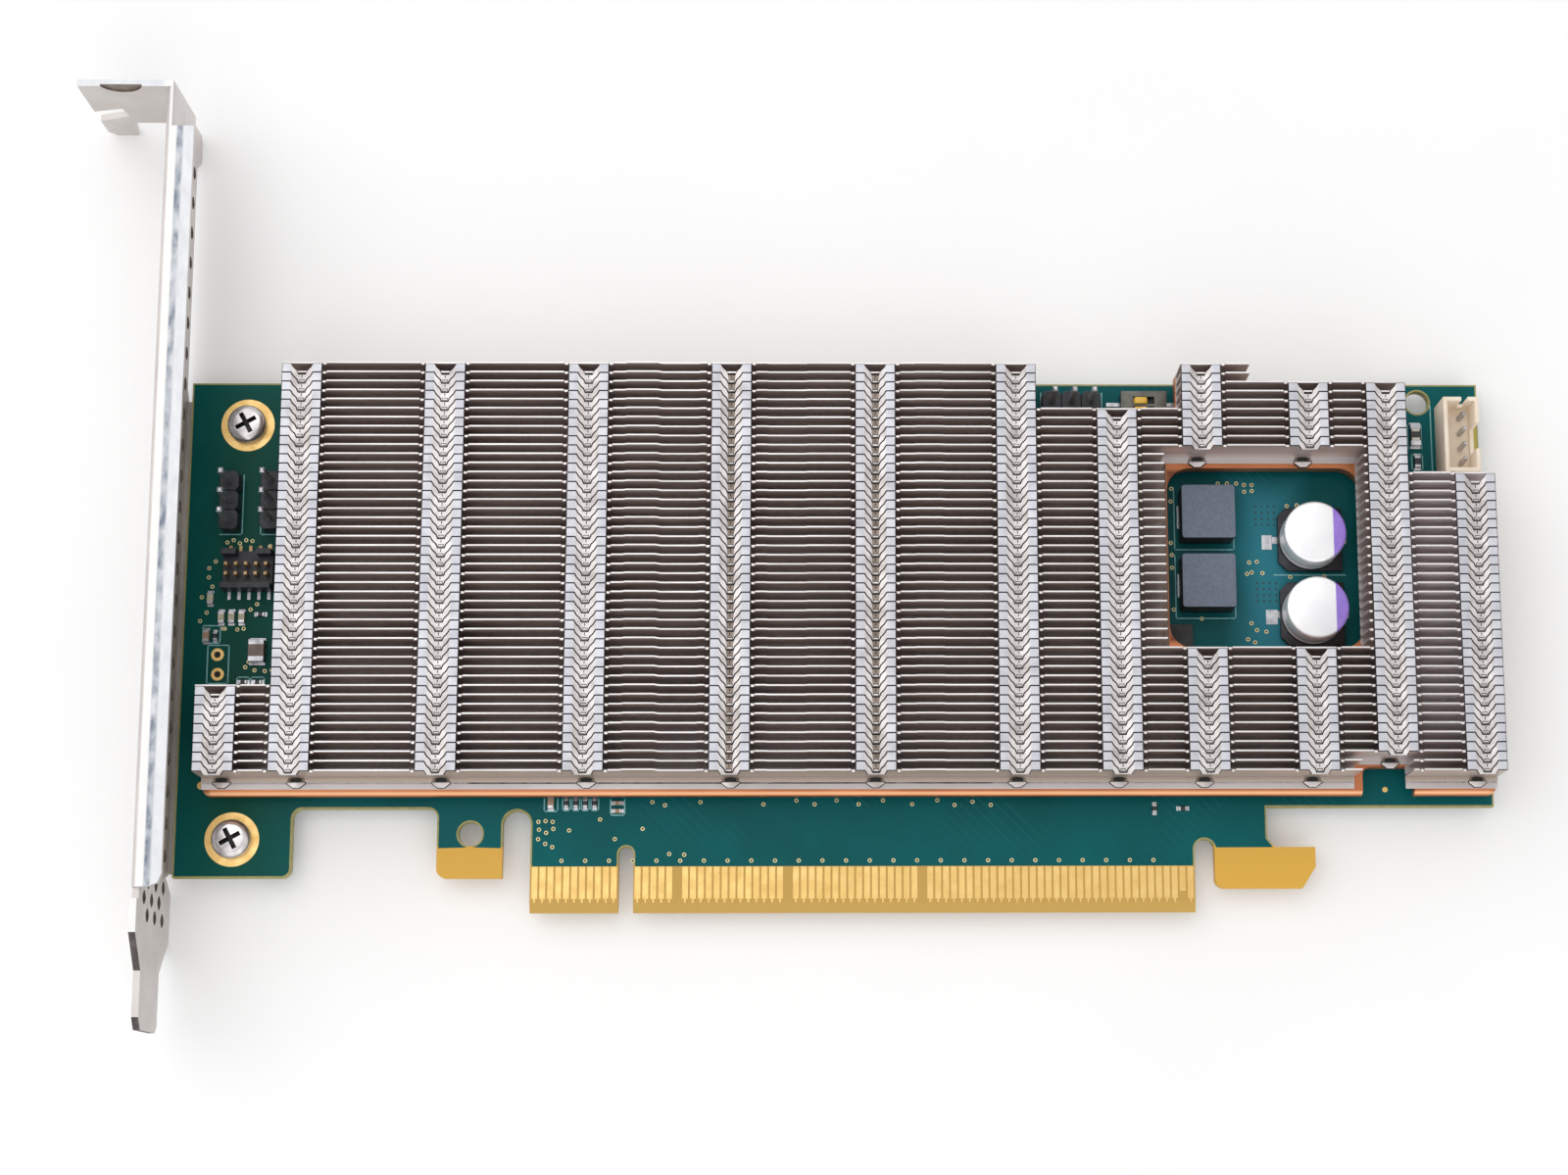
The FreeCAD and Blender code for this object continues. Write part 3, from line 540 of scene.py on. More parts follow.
via_eyes += [disc(x, y, 0.43, MASK_THICK, EYE_Z) for x, y in plated_pair]
settle(coat(join("via_holes", via_eyes), hole_shade), "chip_black")
settle(coat(join("covered_via_set", covered_vias), sunk_green), "board")


# ------------------------------------------------------------------ printed outlines
# Frames of pale ink, screen-printed on the mask, that show where parts sit. Only the plain frames are
# here, with no words.

INK_WIDTH = 0.15
INK_Z = MASK_THICK + 0.012
ink = finish_of("printed_ink", (150, 206, 208), (120, 182, 186), (0.5, 0.7), scale=1500, bump=0.1)


def ink_line(x0, y0, x1, y1):
    """One printed line along x or y."""
    half = INK_WIDTH / 2
    return block("ink", (x0 - half, y0 - half, MASK_THICK), (x1 + half, y1 + half, INK_Z))


def ink_frame(x0, y0, x1, y1, sides="lrtb"):
    """The left, right, top and bottom lines of a frame, or those of them that are named."""
    edges = {"l": (x0, y0, x0, y1), "r": (x1, y0, x1, y1), "b": (x0, y0, x1, y0), "t": (x0, y1, x1, y1)}
    return [ink_line(*edges[side]) for side in sides]


frames = ink_frame(3.35, 29.29, 6.05, 34.24) + ink_frame(2.62, 34.50, 4.84, 36.79)
frames += ink_frame(4.30, 48.75, 7.12, 56.60, "rb") + ink_frame(9.48, 48.75, 12.3, 56.60, "lb")
frames += ink_frame(110.49, 64.6, 118.3, 67.7, "lb") + ink_frame(118.45, 63.2, 129.0, 67.7, "lb")
frames += ink_frame(127.6, 46.79, 135.3, 55.0, "lrb") + ink_frame(127.6, 37.74, 135.3, 46.0, "lrb")
frames += ink_frame(7.2, 28.8, 8.8, 30.1) + ink_frame(9.0, 28.8, 10.7, 30.1)
for x in (49.5, 50.7, 51.9, 53.1):
    frames += ink_frame(x - 0.48, 12.95, x + 0.48, 14.35, "lrb")
frames += ink_frame(46.7, 12.85, 48.4, 14.40, "lrb")
frames += ink_frame(55.1, 12.35, 56.9, 14.3, "lrb")
frames += ink_frame(158.85, 57.45, 160.25, 59.55) + ink_frame(158.4, 60.3, 160.2, 63.4, "lr")
frames += ink_frame(140.4, 43.45, 149.6, 52.4, "b") + ink_frame(140.4, 33.6, 149.6, 42.6, "b")
frames += ink_frame(161.5, 55.6, 166.9, 66.0, "l")
settle(coat(join("printed_outlines", frames), ink), "board")


# ------------------------------------------------------------------ bracket
# One piece of stamped and folded stainless sheet: the vented face, the chassis ear, the long stiffening
# flange and the foot under the board. Its vents are punched round.

SHEET = 0.86
VENT_ROWS = 6
VENT_PITCH = 4.10
VENT_ROW_STEP = 2.05
FIRST_VENT_Y = -1.0
FIRST_VENT_Z = 0.50
VENT_CORNER_OUT = 1.12
face_x = BOARD_END - 1.33 * MM
steel = finish_of("bracket_steel", (218, 212, 208), (198, 191, 188), (0.3, 0.45), metal=0.4, scale=110,
                  bump=0.06)
# Painted shade: a dark finish for the sheared edge below the blade's shoulder.
cut_edge_shade = finish_of("bracket_edge_shade", (104, 96, 94), (66, 60, 60), (0.45, 0.65), metal=0.4, scale=700,
                     bump=0.15)
# Painted shade: a dark finish for the walls inside the vents.
vent_wall_shade = finish_of("bracket_vent_shade", (112, 100, 94), (84, 74, 70), (0.4, 0.6), metal=0.4, scale=900)
# Painted shade: a brown finish for the shallow dent under the ear.
dent_shade = finish_of("bracket_dent_shade", (112, 98, 90), (156, 143, 134), (0.4, 0.6), metal=0.3, scale=700)
flange_steel = finish_of("bracket_flange_steel", (206, 208, 213), (228, 229, 231), (0.3, 0.5), metal=0.3,
                         scale=900, stretch=(1, 0.5, 1), bump=0.08)
paint_zone(flange_steel, (-0.25, -20), (0.6, 99), (112, 122, 138), 0.15, broken=True)
# Painted highlight: a near-white band along the flange's outer fold.
paint_zone(flange_steel, (-2, -20), (-0.25, 120), (234, 233, 231), 0.1)


def facing_up(face):
    """Whether a face looks away from the board."""
    return face.normal.z > 0.9


def bevel(width, segments):
    """Rounds the picked edges."""
    bpy.ops.mesh.bevel(offset=width * MM, segments=segments, affect="EDGES")


def vents_near(y, z):
    """How far a place is from the nearest vent of each row: along the row, and up or down."""
    for row in range(VENT_ROWS):
        along = (y - FIRST_VENT_Y - (row % 2) * VENT_ROW_STEP) % VENT_PITCH
        yield min(along, VENT_PITCH - along), abs(z - (FIRST_VENT_Z + row * VENT_ROW_STEP))


def vent_corner(middle, edge):
    """Whether an edge is a corner of a vent, running through the sheet."""
    y, z = middle.y / MM, middle.z / MM
    across = abs((edge.verts[0].co - edge.verts[1].co).normalized().x) > 0.99
    inside = -2.3 < y < 99.5 and -0.75 < z < 12.0
    of_sheet = abs(edge.calc_length() - SHEET * MM) < 0.02 * MM and abs(middle.x - face_x) < 0.05 * MM
    return across and inside and of_sheet and any(
        abs(up + along - VENT_CORNER_OUT) < 0.03 and min(up, along) < 0.03 for along, up in vents_near(y, z))


def in_vent(face):
    """Whether a face is part of a vent's punched wall."""
    y, z = face.center.y / MM, face.center.z / MM
    across_sheet = abs(face.normal.x) < 0.3 and abs(face.center.x - face_x) < 0.1 * MM
    if not across_sheet or face.area > 1.5 * MM * MM or y < -2.9:
        return False
    return any(math.hypot(along, up) < 1.15 for along, up in vents_near(y, z))


def is_shoulder_cut(face):
    """Whether a face is a sheared edge of the blade below its shoulder; painted shade darkens these edges.
    """
    return face.normal.y < -0.3 and abs(face.normal.x) < 0.2 and face.center.y < 0


def in_ear_dent(face):
    """Whether a face is in the shallow dent under the ear."""
    under_ear = 104.17 < face.center.y / MM < 104.5 and face.center.z > mm_at(0, 0, 12).z
    small_wall = abs(face.normal.y) < 0.3 and face.area < 1 * MM * MM
    return under_ear and face.center.x < mm_at(-3, 0, 0).x and (face.normal.y < -0.9 or small_wall)


bracket = weld(copy_of(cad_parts["bracket"], "bracket_sheet"))
open_up(bracket)
pick("EDGE", vent_corner)
bevel(0.52, 2)
close_up()
coat(bracket, steel)
flange_z = mm_at(0, 0, 14.65).z
coat(bracket, flange_steel, lambda face: facing_up(face) and face.center.z > flange_z)
coat(bracket, cut_edge_shade, is_shoulder_cut)
coat(bracket, vent_wall_shade, in_vent)
coat(bracket, dent_shade, in_ear_dent)
settle(bracket, "bracket_steel", "bracket")


# ------------------------------------------------------------------ screws
# Plated steel pan-head screws with a cross recess: two clamp the bracket's foot, four come up through
# the board to the heatsink.

# Painted shade: a dark finish for the faces of the cross recesses.
recess_shade = finish_of("screw_recess_shade", (70, 66, 66), (44, 42, 44), (0.4, 0.6), metal=0.6, scale=900)
screw_steel = finish_of("screw_steel", (238, 234, 233), (168, 162, 164), (0.16, 0.34), metal=0.8, scale=420)
RECESS_TURN = 0.5
RECESS_DEPTH = 0.75


def in_recess(face, seat, radius, height):
    """Whether a face of a head belongs to its cross recess."""
    out = Vector((face.center.x - seat.x, face.center.y - seat.y, 0)).length
    deep = (face.center.z - seat.z) / (height * MM)
    of_wall = 0.1 < deep < 0.97 and out < radius * 0.72 * MM and abs(face.normal.z) < 0.25
    of_floor = 0.1 < deep < 0.4 and out < radius * 0.6 * MM and abs(face.normal.z) > 0.9
    return of_wall or of_floor


def pan_screw(x, y, seat, radius, height, shank_radius, shank_end):
    """A domed head with a cross recess on a plain shank; a negative height hangs the head down."""
    crown = seat + height
    head = disc(x, y, radius, min(seat, crown), max(seat, crown), 36)
    open_up(head)
    pick("FACE", lambda middle, face: abs(middle.z - mm_at(0, 0, crown).z) < 0.01 * MM)
    bevel(abs(height) * 0.55, 4)
    close_up()
    arm_size = (radius * 1.15 * MM, radius * 0.24 * MM, abs(height * RECESS_DEPTH) * 2 * MM)
    for turn in (RECESS_TURN, RECESS_TURN + math.pi / 2):
        hold()
        bpy.ops.mesh.primitive_cube_add(size=1, location=mm_at(x, y, crown), rotation=(0, 0, turn),
                                        scale=arm_size)
        arm = placed("cross_arm")
        modify(head, "BOOLEAN", object=arm, operation="DIFFERENCE", solver="EXACT")
        bpy.data.objects.remove(arm)
    coat(head, screw_steel)
    coat(head, recess_shade, lambda face: in_recess(face, mm_at(x, y, seat), radius, height))
    shank = disc(x, y, shank_radius, min(seat, shank_end), max(seat, shank_end), 24)
    return join("screw", [head, coat(shank, screw_steel)])


head_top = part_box("bracket_screws")[1].z / MM
foot_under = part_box("bracket_screws")[0].z / MM
bracket_screws = join("bracket_screw_set", [
    pan_screw(x, y, MASK_THICK, 2.5, head_top - MASK_THICK, 1.2, foot_under) for x, y in bracket_holes])
settle(bracket_screws, "screw_steel", "bracket_screws")
cooler_places = [(22.0, 58.0), (22.0, 24.0), (119.0, 58.0), (119.0, 24.0)]
cooler_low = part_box("heatsink_screws")[0].z / MM
cooler_screws = join("heatsink_screw_set", [
    pan_screw(x, y, solder_face, 2.0, cooler_low - solder_face, 1.0, 1.8) for x, y in cooler_places])
settle(cooler_screws, "screw_steel", "heatsink_screws")


# ------------------------------------------------------------------ heatsink base plate
# A milled copper plate that carries the fins and is screwed to the board. Its edges and the window's
# rim stay bare copper. A painted highlight runs along the front arris, and painted shade darkens the
# plate's front face and the window's left rim.

copper = finish_of("bare_copper", (206, 132, 90), (172, 102, 66), (0.28, 0.45), metal=0.75, scale=220,
                   stretch=(0.3, 1, 1), bump=0.12)
plate_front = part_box("heatsink_base")[0].y / MM
paint_zone(copper, (108, 32), (126.22, 57.3), (96, 84, 76))
# Painted shade: the window's left rim is painted dark copper.
paint_zone(copper, (126.22, 34), (127.9, 56.5), (112, 66, 46), 0.3)
# Painted shade on the plate's front face, and a painted highlight on the strip just behind the front arris.
paint_zone(copper, (3, plate_front - 0.5), (168, plate_front + 0.02), (178, 104, 60), 0.01)
paint_zone(copper, (3, plate_front + 0.16), (168, plate_front + 0.40), (244, 192, 146), 0.14)
coat(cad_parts["heatsink_base"], copper)


# ------------------------------------------------------------------ fin stack
# Folded fins of thin nickel-plated copper, soldered to the plate by their feet. Along twelve columns each
# fin's top is bent forward into tabs that lock into the next fin, which gives the zipper look.

FIN_SHEET = 0.25
LIP = 0.45
TAB_WIDTH = 5.10
TAB_FLAT = 1.38
TAB_GRIP = 2.3
NOTCH_NEAR = 2.55
NOTCH_FAR = 3.15
COLUMNS = [6.60, 15.95, 34.10, 52.30, 70.45, 88.70, 106.60, 119.40, 130.25, 143.90, 153.80, 164.80]
# In these two columns the middles of the tongues are painted brown: painted shade and painted reflection.
SHADED_TONGUE_COLUMNS = (COLUMNS[4], COLUMNS[5])
KINKS = ((56.9, 61.4, 0.07), (61.4, 66.6, -0.05), (93.6, 97.5, 0.04), (74.9, 80.2, -0.04))
REAR_ROWS = range(0, 5)
BEHIND_WINDOW_ROWS = range(5, 10)
WINDOW_ROWS = range(10, 31)
BEFORE_WINDOW_ROWS = range(31, 35)
FRONT_ROWS = range(35, 45)
CUT_CORNER_ROWS = range(0, 2)
RIGHT_RECESS_ROWS = range(0, 12)
FRONT_NOTCH_ROWS = range(43, 45)
CUT_CORNER_X = 136.50
WINDOW_X = (125.30, 150.60)
FRONT_NOTCH_X = (149.20, 155.70)
last_row = FRONT_ROWS[-1]
fins_left = (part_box("fins_front")[0].x - BOARD_END) / MM
fins_right = (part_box("fins_front")[1].x - BOARD_END) / MM
fin_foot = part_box("fins_front")[0].z / MM
fin_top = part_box("fins_front")[1].z / MM
fin_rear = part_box("fins_rear")[1].y / MM - FIN_SHEET
front_wall_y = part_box("fins_front")[0].y / MM
fin_pitch = (fin_rear + FIN_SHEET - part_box("fins_front")[1].y / MM) / FRONT_ROWS[0]
foot_top = fin_foot + FIN_SHEET
edge_z = mm_at(0, 0, fin_top - LIP / 2).z

# The walls take a shaded copy of the fin nickel, browner and darker than the top edges: painted shade with a
# painted reflection of the copper plate.
shaded_fin_wall = finish_of("shaded_wall_nickel", (218, 203, 198), (186, 170, 165), (0.3, 0.45), metal=0.45, scale=160,
                     stretch=(0.25, 1, 2.5))
# Painted shade on the last fin's front face.
paint_zone(shaded_fin_wall, (0, front_wall_y - 0.5), (170, front_wall_y + 1.9), (176, 161, 150), 0.05)
# Painted highlight towards the fins' right end.
paint_zone(shaded_fin_wall, (156, 20), (171, 60), (244, 236, 238), 2.5)
# The up-facing top edges take a lit copy of the fin nickel, whiter than the walls and feet: a painted
# highlight.
lit_fin_edge = finish_of("lit_edge_nickel", (236, 233, 232), (206, 202, 200), (0.25, 0.4), metal=0.55, scale=240,
                     stretch=(0.4, 1, 1), bump=0.08)
fin_foot_nickel = finish_of("fin_foot_nickel", (214, 210, 210), (196, 190, 190), (0.3, 0.45), metal=0.4,
                            scale=200, stretch=(0.3, 1, 1), bump=0.08)
tab_flat = finish_of("tab_nickel", (210, 210, 217), (186, 186, 194), (0.3, 0.46), metal=0.4, scale=420)
tab_fold = finish_of("tab_fold_nickel", (232, 227, 226), (184, 176, 174), (0.25, 0.4), metal=0.35, scale=520,
                     bump=0.12)
# Painted shade: the tabs' sides and undersides, the hooks' slots and slits and the loops' sides are near
# black, standing in for the shade in the seams and cuts.
seam_shade = finish_of("seam_shade", (52, 47, 46), (36, 32, 32), (0.8, 0.95), scale=600)
seam_shade.node_tree.nodes["Principled BSDF"].inputs["Specular IOR Level"].default_value = 0.1
# Painted shade: a brown nickel for the tongue middles of the shaded columns and the rims round the lock
# eyes.
tab_shade = finish_of("tab_shade_nickel", (150, 136, 126), (112, 99, 90), (0.4, 0.6), metal=0.5, scale=900,
                      bump=0.15)


def ease(piece, width, segments=2):
    """Rounds a piece's sharp edges."""
    return modify(piece, "BEVEL", width=width * MM, segments=segments, limit_method="ANGLE")


def draw_out(x, y, z):
    """Extrudes the picked faces by so many millimetres."""
    bpy.ops.mesh.extrude_region_move(TRANSFORM_OT_translate={"value": (x * MM, y * MM, z * MM)})


def faces_up(middle, face):
    """Whether a face that pick() offers looks away from the board."""
    return facing_up(face)


def from_column(middle):
    """How far a place is from the nearest zipper column."""
    x = (middle.x - BOARD_END) / MM
    return min(abs(x - column) for column in COLUMNS)


def whole_fin():
    """A fin of full length at the drawing's y = 0: wall, foot, notches beside each column, their nubs."""
    wall = block("fin", (fins_left, 0.03, fin_foot), (fins_right, FIN_SHEET - 0.03, fin_top - LIP))
    open_up(wall)
    for x in COLUMNS:
        for side in (-NOTCH_FAR, -NOTCH_NEAR, NOTCH_NEAR, NOTCH_FAR):
            if fins_left < x + side < fins_right:
                cut(mm_at(x + side, 0, 0), (1, 0, 0))
    cut(mm_at(0, 0, foot_top), (0, 0, 1))
    pick("FACE", lambda middle, face: faces_up(middle, face) and from_column(middle) > NOTCH_FAR)
    draw_out(0, 0, LIP)
    pick("FACE", lambda middle, face: faces_up(middle, face) and from_column(middle) < NOTCH_NEAR)
    draw_out(0, 0, LIP - 0.22)
    for x0, x1, push in KINKS:
        for x in (x0, x0 + 0.35, x1 - 0.35, x1):
            cut(mm_at(x, 0, 0), (1, 0, 0))
        low_x, high_x = mm_at(x0 + 0.3, 0, 0).x, mm_at(x1 - 0.3, 0, 0).x
        pick("VERT", lambda place, vertex: place.z > edge_z and low_x < place.x < high_x)
        bpy.ops.transform.translate(value=(0, push * MM, 0))
    pick("FACE", lambda middle, face: face.normal.y < -0.9 and middle.z < mm_at(0, 0, foot_top).z)
    reach = fin_pitch - 0.10 - FIN_SHEET
    draw_out(0, -reach, 0)
    close_up()
    nubs = []
    for x in COLUMNS:
        for side in (-1, 1):
            nub_x = x + side * (NOTCH_NEAR + NOTCH_FAR) / 2
            if fins_left < nub_x < fins_right:
                nubs.append(block("nub", (nub_x - 0.17, -0.14, fin_top - LIP),
                                  (nub_x + 0.17, 0.12, fin_top - 0.06)))
    return join("fin", [wall] + nubs)


def cut_off(place, way):
    """Takes off all of the open piece beyond a plane and closes the cut with a face that points out."""
    cut(place, way, clear_outer=True, use_fill=True)
    take_all()
    bpy.ops.mesh.normals_make_consistent(inside=False)


def trimmed(source, x0, x1):
    """A copy of the fin cut off square at both ends."""
    fin = copy_of(source, "fin")
    open_up(fin)
    for x, way in ((x0, -1), (x1, 1)):
        if fins_left < x < fins_right:
            cut_off(mm_at(x, 0, 0), (way, 0, 0))
    close_up()
    return fin


def on_rim(place, vertex):
    """Whether a vertex lies where a tab's top meets its side."""
    slopes = [face.normal.z for face in vertex.link_faces]
    return max(slopes) > 0.5 and min(abs(slope) for slope in slopes) < 0.5


def lock_tab():
    """The folded tab at the drawing's x = 0, y = 0: two flat pads, and between them the arms that run
    forward to a tongue. Its rim is eased down towards the seam."""
    half = TAB_WIDTH / 2
    steps = [(half - TAB_FLAT, 0, 0), (0.30, -0.50, -0.06), (0.46, -0.44, -0.05), (0.20, -0.48, -0.03),
             (0.84, 0, 0), (0.20, 0.48, 0.03), (0.46, 0.44, 0.05), (0.30, 0.50, 0.06),
             (half - TAB_FLAT, 0, 0)]
    hold()
    bpy.ops.mesh.primitive_plane_add(size=1, location=(0, 0, 0))
    tab = placed("tab")
    open_up(tab)
    take_all()
    bpy.ops.mesh.delete(type="ONLY_FACE")
    pick("VERT", lambda place, vertex: place.x > 0)
    bpy.ops.mesh.delete(type="VERT")
    pick("VERT", lambda place, vertex: place.y > 0)
    bpy.ops.transform.translate(value=mm_at(-half, 0.02, fin_top) - Vector((-0.5, 0.5, 0)))
    pick("VERT", lambda place, vertex: place.y < -0.4)
    bpy.ops.transform.translate(value=mm_at(-half, 0.02 - fin_pitch, fin_top) - Vector((-0.5, -0.5, 0)))
    take_all()
    for step in steps:
        bpy.ops.mesh.extrude_edges_move(TRANSFORM_OT_translate={"value": [part * MM for part in step]})
    take_all()
    bpy.ops.mesh.normals_make_consistent(inside=False)
    close_up()
    if tab.data.polygons[0].normal.z < 0:
        tab.data.flip_normals()
    modify(tab, "SOLIDIFY", thickness=0.2 * MM, offset=-1)
    open_up(tab)
    pick("FACE", faces_up)
    inset(0.085)
    pick("VERT", on_rim)
    bpy.ops.transform.translate(value=(0, 0, -0.10 * MM))
    close_up()
    return tab


def hook():
    """The end of the hook, which shows as a small bright bar in a slot of the tongue; the slot and a slit
    near it are small blocks in painted shade.
    """
    y = -fin_pitch - 1.15
    low = fin_top - 0.20
    slot = block("slot", (-0.36, y - 0.13, low), (0.36, y + 0.22, fin_top - 0.12))
    bar = block("bar", (-0.29, y - 0.06, low), (0.29, y + 0.12, fin_top - 0.08))
    slit = block("slit", (-0.05, y + 0.42, low), (0.05, y + 0.80, fin_top - 0.12))
    return [coat(slot, seam_shade), coat(bar, tab_fold), coat(slit, seam_shade)]


def from_middle(face):
    """How far a face of the tab at x = 0 is from its middle line."""
    return abs(face.center.x - BOARD_END) / MM


def foot_lock(x, y):
    """Where a run of fins ends, its foot shows the eye of the lower lock, its rim and the folded loop. The
    eye is a disc in painted shade, its rim takes the brown shaded tab finish, and the loop's sides are in
    painted shade.
    """
    round_parts = []
    for radius, squeeze, height, finish in ((1.10, 0.42, 0.12, tab_shade), (0.78, 0.38, 0.16, hole_shade)):
        part = disc(x, y - 0.30, radius, fin_foot, foot_top + height, 16)
        open_up(part)
        take_all()
        bpy.ops.transform.resize(value=(1, squeeze, 1), center_override=mm_at(x, y - 0.30, fin_foot))
        close_up()
        round_parts.append(coat(part, finish))
    loop = block("loop", (x - 1.2, y - 0.80, foot_top), (x + 1.2, y - 0.52, foot_top + 0.12))
    open_up(loop)
    pick("FACE", lambda middle, face: face.normal.y < -0.9)
    draw_out(0, -0.60, 0)
    bpy.ops.transform.resize(value=(0.36, 1, 1), center_override=mm_at(x, y - 1.40, foot_top))
    pick("FACE", faces_up)
    inset(0.09)
    pick("FACE", lambda middle, face: faces_up(middle, face) and face.calc_area() > 0.3 * MM * MM)
    bpy.ops.transform.translate(value=(0, 0, 0.05 * MM))
    close_up()
    coat(loop, seam_shade)
    coat(loop, tab_fold,
         lambda face: facing_up(face) and len(face.vertices) == 4 and face.area > 0.2 * MM * MM)
    return round_parts + [loop]


def front_flange(x0, x1, y):
    """The last fin's foot is wider: its bend stands out first, then the flat that lies on the plate."""
    bend = block("bend", (x0, y - 0.58, fin_foot), (x1, y + 0.04, foot_top + 0.10))
    inner = mm_at(0, y - 0.5, foot_top)
    open_up(bend)
    pick("EDGE", lambda middle, edge: middle.y < inner.y and middle.z > inner.z)
    bevel(0.09, 2)
    close_up()
    flat = block("flat", (x0, y - 1.47, fin_foot), (x1, y - 0.56, foot_top))
    return [coat(bend, shaded_fin_wall), coat(ease(flat, 0.05, 1), fin_foot_nickel)]


def fin_spans(row):
    """Where fins stand in one row, as pairs of x; rows count from the rear."""
    half = TAB_WIDTH / 2
    left = fins_left if row in FRONT_ROWS else COLUMNS[1] - half
    right = COLUMNS[10] + half if row in RIGHT_RECESS_ROWS else fins_right
    if row in CUT_CORNER_ROWS:
        right = CUT_CORNER_X
    if row in REAR_ROWS:
        return [(left, COLUMNS[6] + half), (COLUMNS[8] - half, right)]
    if row in WINDOW_ROWS:
        return [(left, WINDOW_X[0]), (WINDOW_X[1], right)]
    if row in FRONT_NOTCH_ROWS:
        return [(left, FRONT_NOTCH_X[0]), (FRONT_NOTCH_X[1], right)]
    return [(left, right)]


def has_tab(row, span, column):
    """Whether a fin has a tab in a column: both it and a fin of the next row have to reach across it."""
    if row >= last_row or not span[0] + TAB_GRIP < column < span[1] - TAB_GRIP:
        return False
    return any(ahead[0] + TAB_GRIP < column < ahead[1] - TAB_GRIP for ahead in fin_spans(row + 1))


def fin_region(name, rows, node, side=None):
    """All fins and tabs of a run of rows, as one soldered-up piece."""
    made = []
    runs = {}
    for row in rows:
        spans = fin_spans(row)
        for span in spans if side is None else [spans[side]]:
            runs.setdefault(span, []).append(row)
            for column in COLUMNS:
                if has_tab(row, span, column):
                    runs.setdefault(column, []).append(row)
    for place, run in runs.items():
        first_y, last_y = [fin_rear - row * fin_pitch for row in (run[0], run[-1])]
        if isinstance(place, tuple):
            fin = shift(trimmed(fin_model, *place), 0, first_y)
            made.append(row_of(fin, len(run), (0, -fin_pitch, 0)))
            continue
        goes_on = any(has_tab(run[-1] + 1, ahead, place) for ahead in fin_spans(run[-1] + 1))
        tab = shift(copy_of(shaded_tab_model if place in SHADED_TONGUE_COLUMNS else tab_model, "tab"), place, first_y)
        made.append(row_of(tab, len(run) if goes_on else len(run) - 1, (0, -fin_pitch, 0)))
        if not goes_on:
            made.append(shift(copy_of(last_tab_model, "tab"), place, last_y))
            made += foot_lock(place, fin_rear - (run[-1] + 1) * fin_pitch)
    if last_row in rows:
        for span in fin_spans(last_row):
            made += front_flange(*span, fin_rear - last_row * fin_pitch)
    return settle(join(name, made), "fin_nickel", node)


fin_model = whole_fin()
coat(fin_model, shaded_fin_wall)
coat(fin_model, lit_fin_edge, lambda face: facing_up(face) and face.center.z > edge_z)
foot_z = mm_at(0, 0, fin_foot + 0.3).z
coat(fin_model, fin_foot_nickel, lambda face: facing_up(face) and face.center.z < foot_z)
tab_model = lock_tab()
coat(tab_model, seam_shade)
coat(tab_model, tab_flat, facing_up)
coat(tab_model, tab_fold, lambda face: facing_up(face) and from_middle(face) < 1.35)
last_tab_model = copy_of(tab_model, "last_tab")
open_up(last_tab_model)
cut_off(mm_at(0, -fin_pitch - 0.45, 0), (0, -1, 0))
close_up()
shaded_tab_model = copy_of(tab_model, "shaded_tab")
coat(shaded_tab_model, tab_shade, lambda face: facing_up(face) and from_middle(face) < 0.48)
shaded_tab_model = join("shaded_tab", [shaded_tab_model] + hook())
tab_model = join("tab", [tab_model] + hook())
fin_region("fin_stack_rear", REAR_ROWS, "fins_rear", 0)
fin_region("fin_stack_rear_corner", REAR_ROWS, "fins_rear_corner", 1)
fin_region("fin_stack_behind_window", BEHIND_WINDOW_ROWS, "fins_behind_window")
fin_region("fin_stack_beside_window", WINDOW_ROWS, "fins_beside_window", 0)
fin_region("fin_stack_window_end", WINDOW_ROWS, "fins_window_end", 1)
fin_region("fin_stack_before_window", BEFORE_WINDOW_ROWS, "fins_before_window")
fin_region("fin_stack_front", FRONT_ROWS, "fins_front")
for model in (fin_model, tab_model, last_tab_model, shaded_tab_model):
    bpy.data.objects.remove(model)


# ------------------------------------------------------------------ chips under the plate
# Four accelerator chips and a bridge chip in black moulding, soldered to the board, each under a soft
# grey pad that is squeezed against the plate. The regulator chip has the same moulding.

chip_black = finish_of("chip_moulding", (38, 38, 42), (24, 24, 28), (0.5, 0.65), scale=800, bump=0.15)
soft_pad = finish_of("thermal_pad", (150, 156, 164), (128, 134, 142), (0.7, 0.85), scale=600, bump=0.2)
for node in ("accelerator_chips", "bridge_chip", "regulator_chip"):
    coat(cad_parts[node], chip_black)
for node in ("thermal_pads", "bridge_thermal_pad"):
    coat(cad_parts[node], soft_pad)


# ------------------------------------------------------------------ inductors
# Two power inductors in the window, pressed from grey metal powder round their coil. Their edges are
# eased, and they stand on tinned terminals that are soldered to the board.

tin = finish_of("solder_tin", (206, 206, 210), (150, 150, 156), (0.22, 0.4), metal=0.8, scale=900, bump=0.15)
powder = finish_of("inductor_powder", (110, 119, 135), (98, 107, 123), (0.55, 0.7), scale=2600, bump=0.3)
# Painted shade: the inductors' sides are near black against their grey tops.
powder_in_shade = finish_of("inductor_shaded_sides", (34, 35, 40), (24, 25, 30), (0.5, 0.65), scale=2000, bump=0.2)
INDUCTOR_HALF_X = 3.45
INDUCTOR_HALF_Y = 3.5
inductor_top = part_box("inductors")[1].z / MM


def is_upright(middle, edge):
    """Whether an edge of a block stands up from the board."""
    return abs(edge.verts[0].co.z - edge.verts[1].co.z) > 0.5 * MM


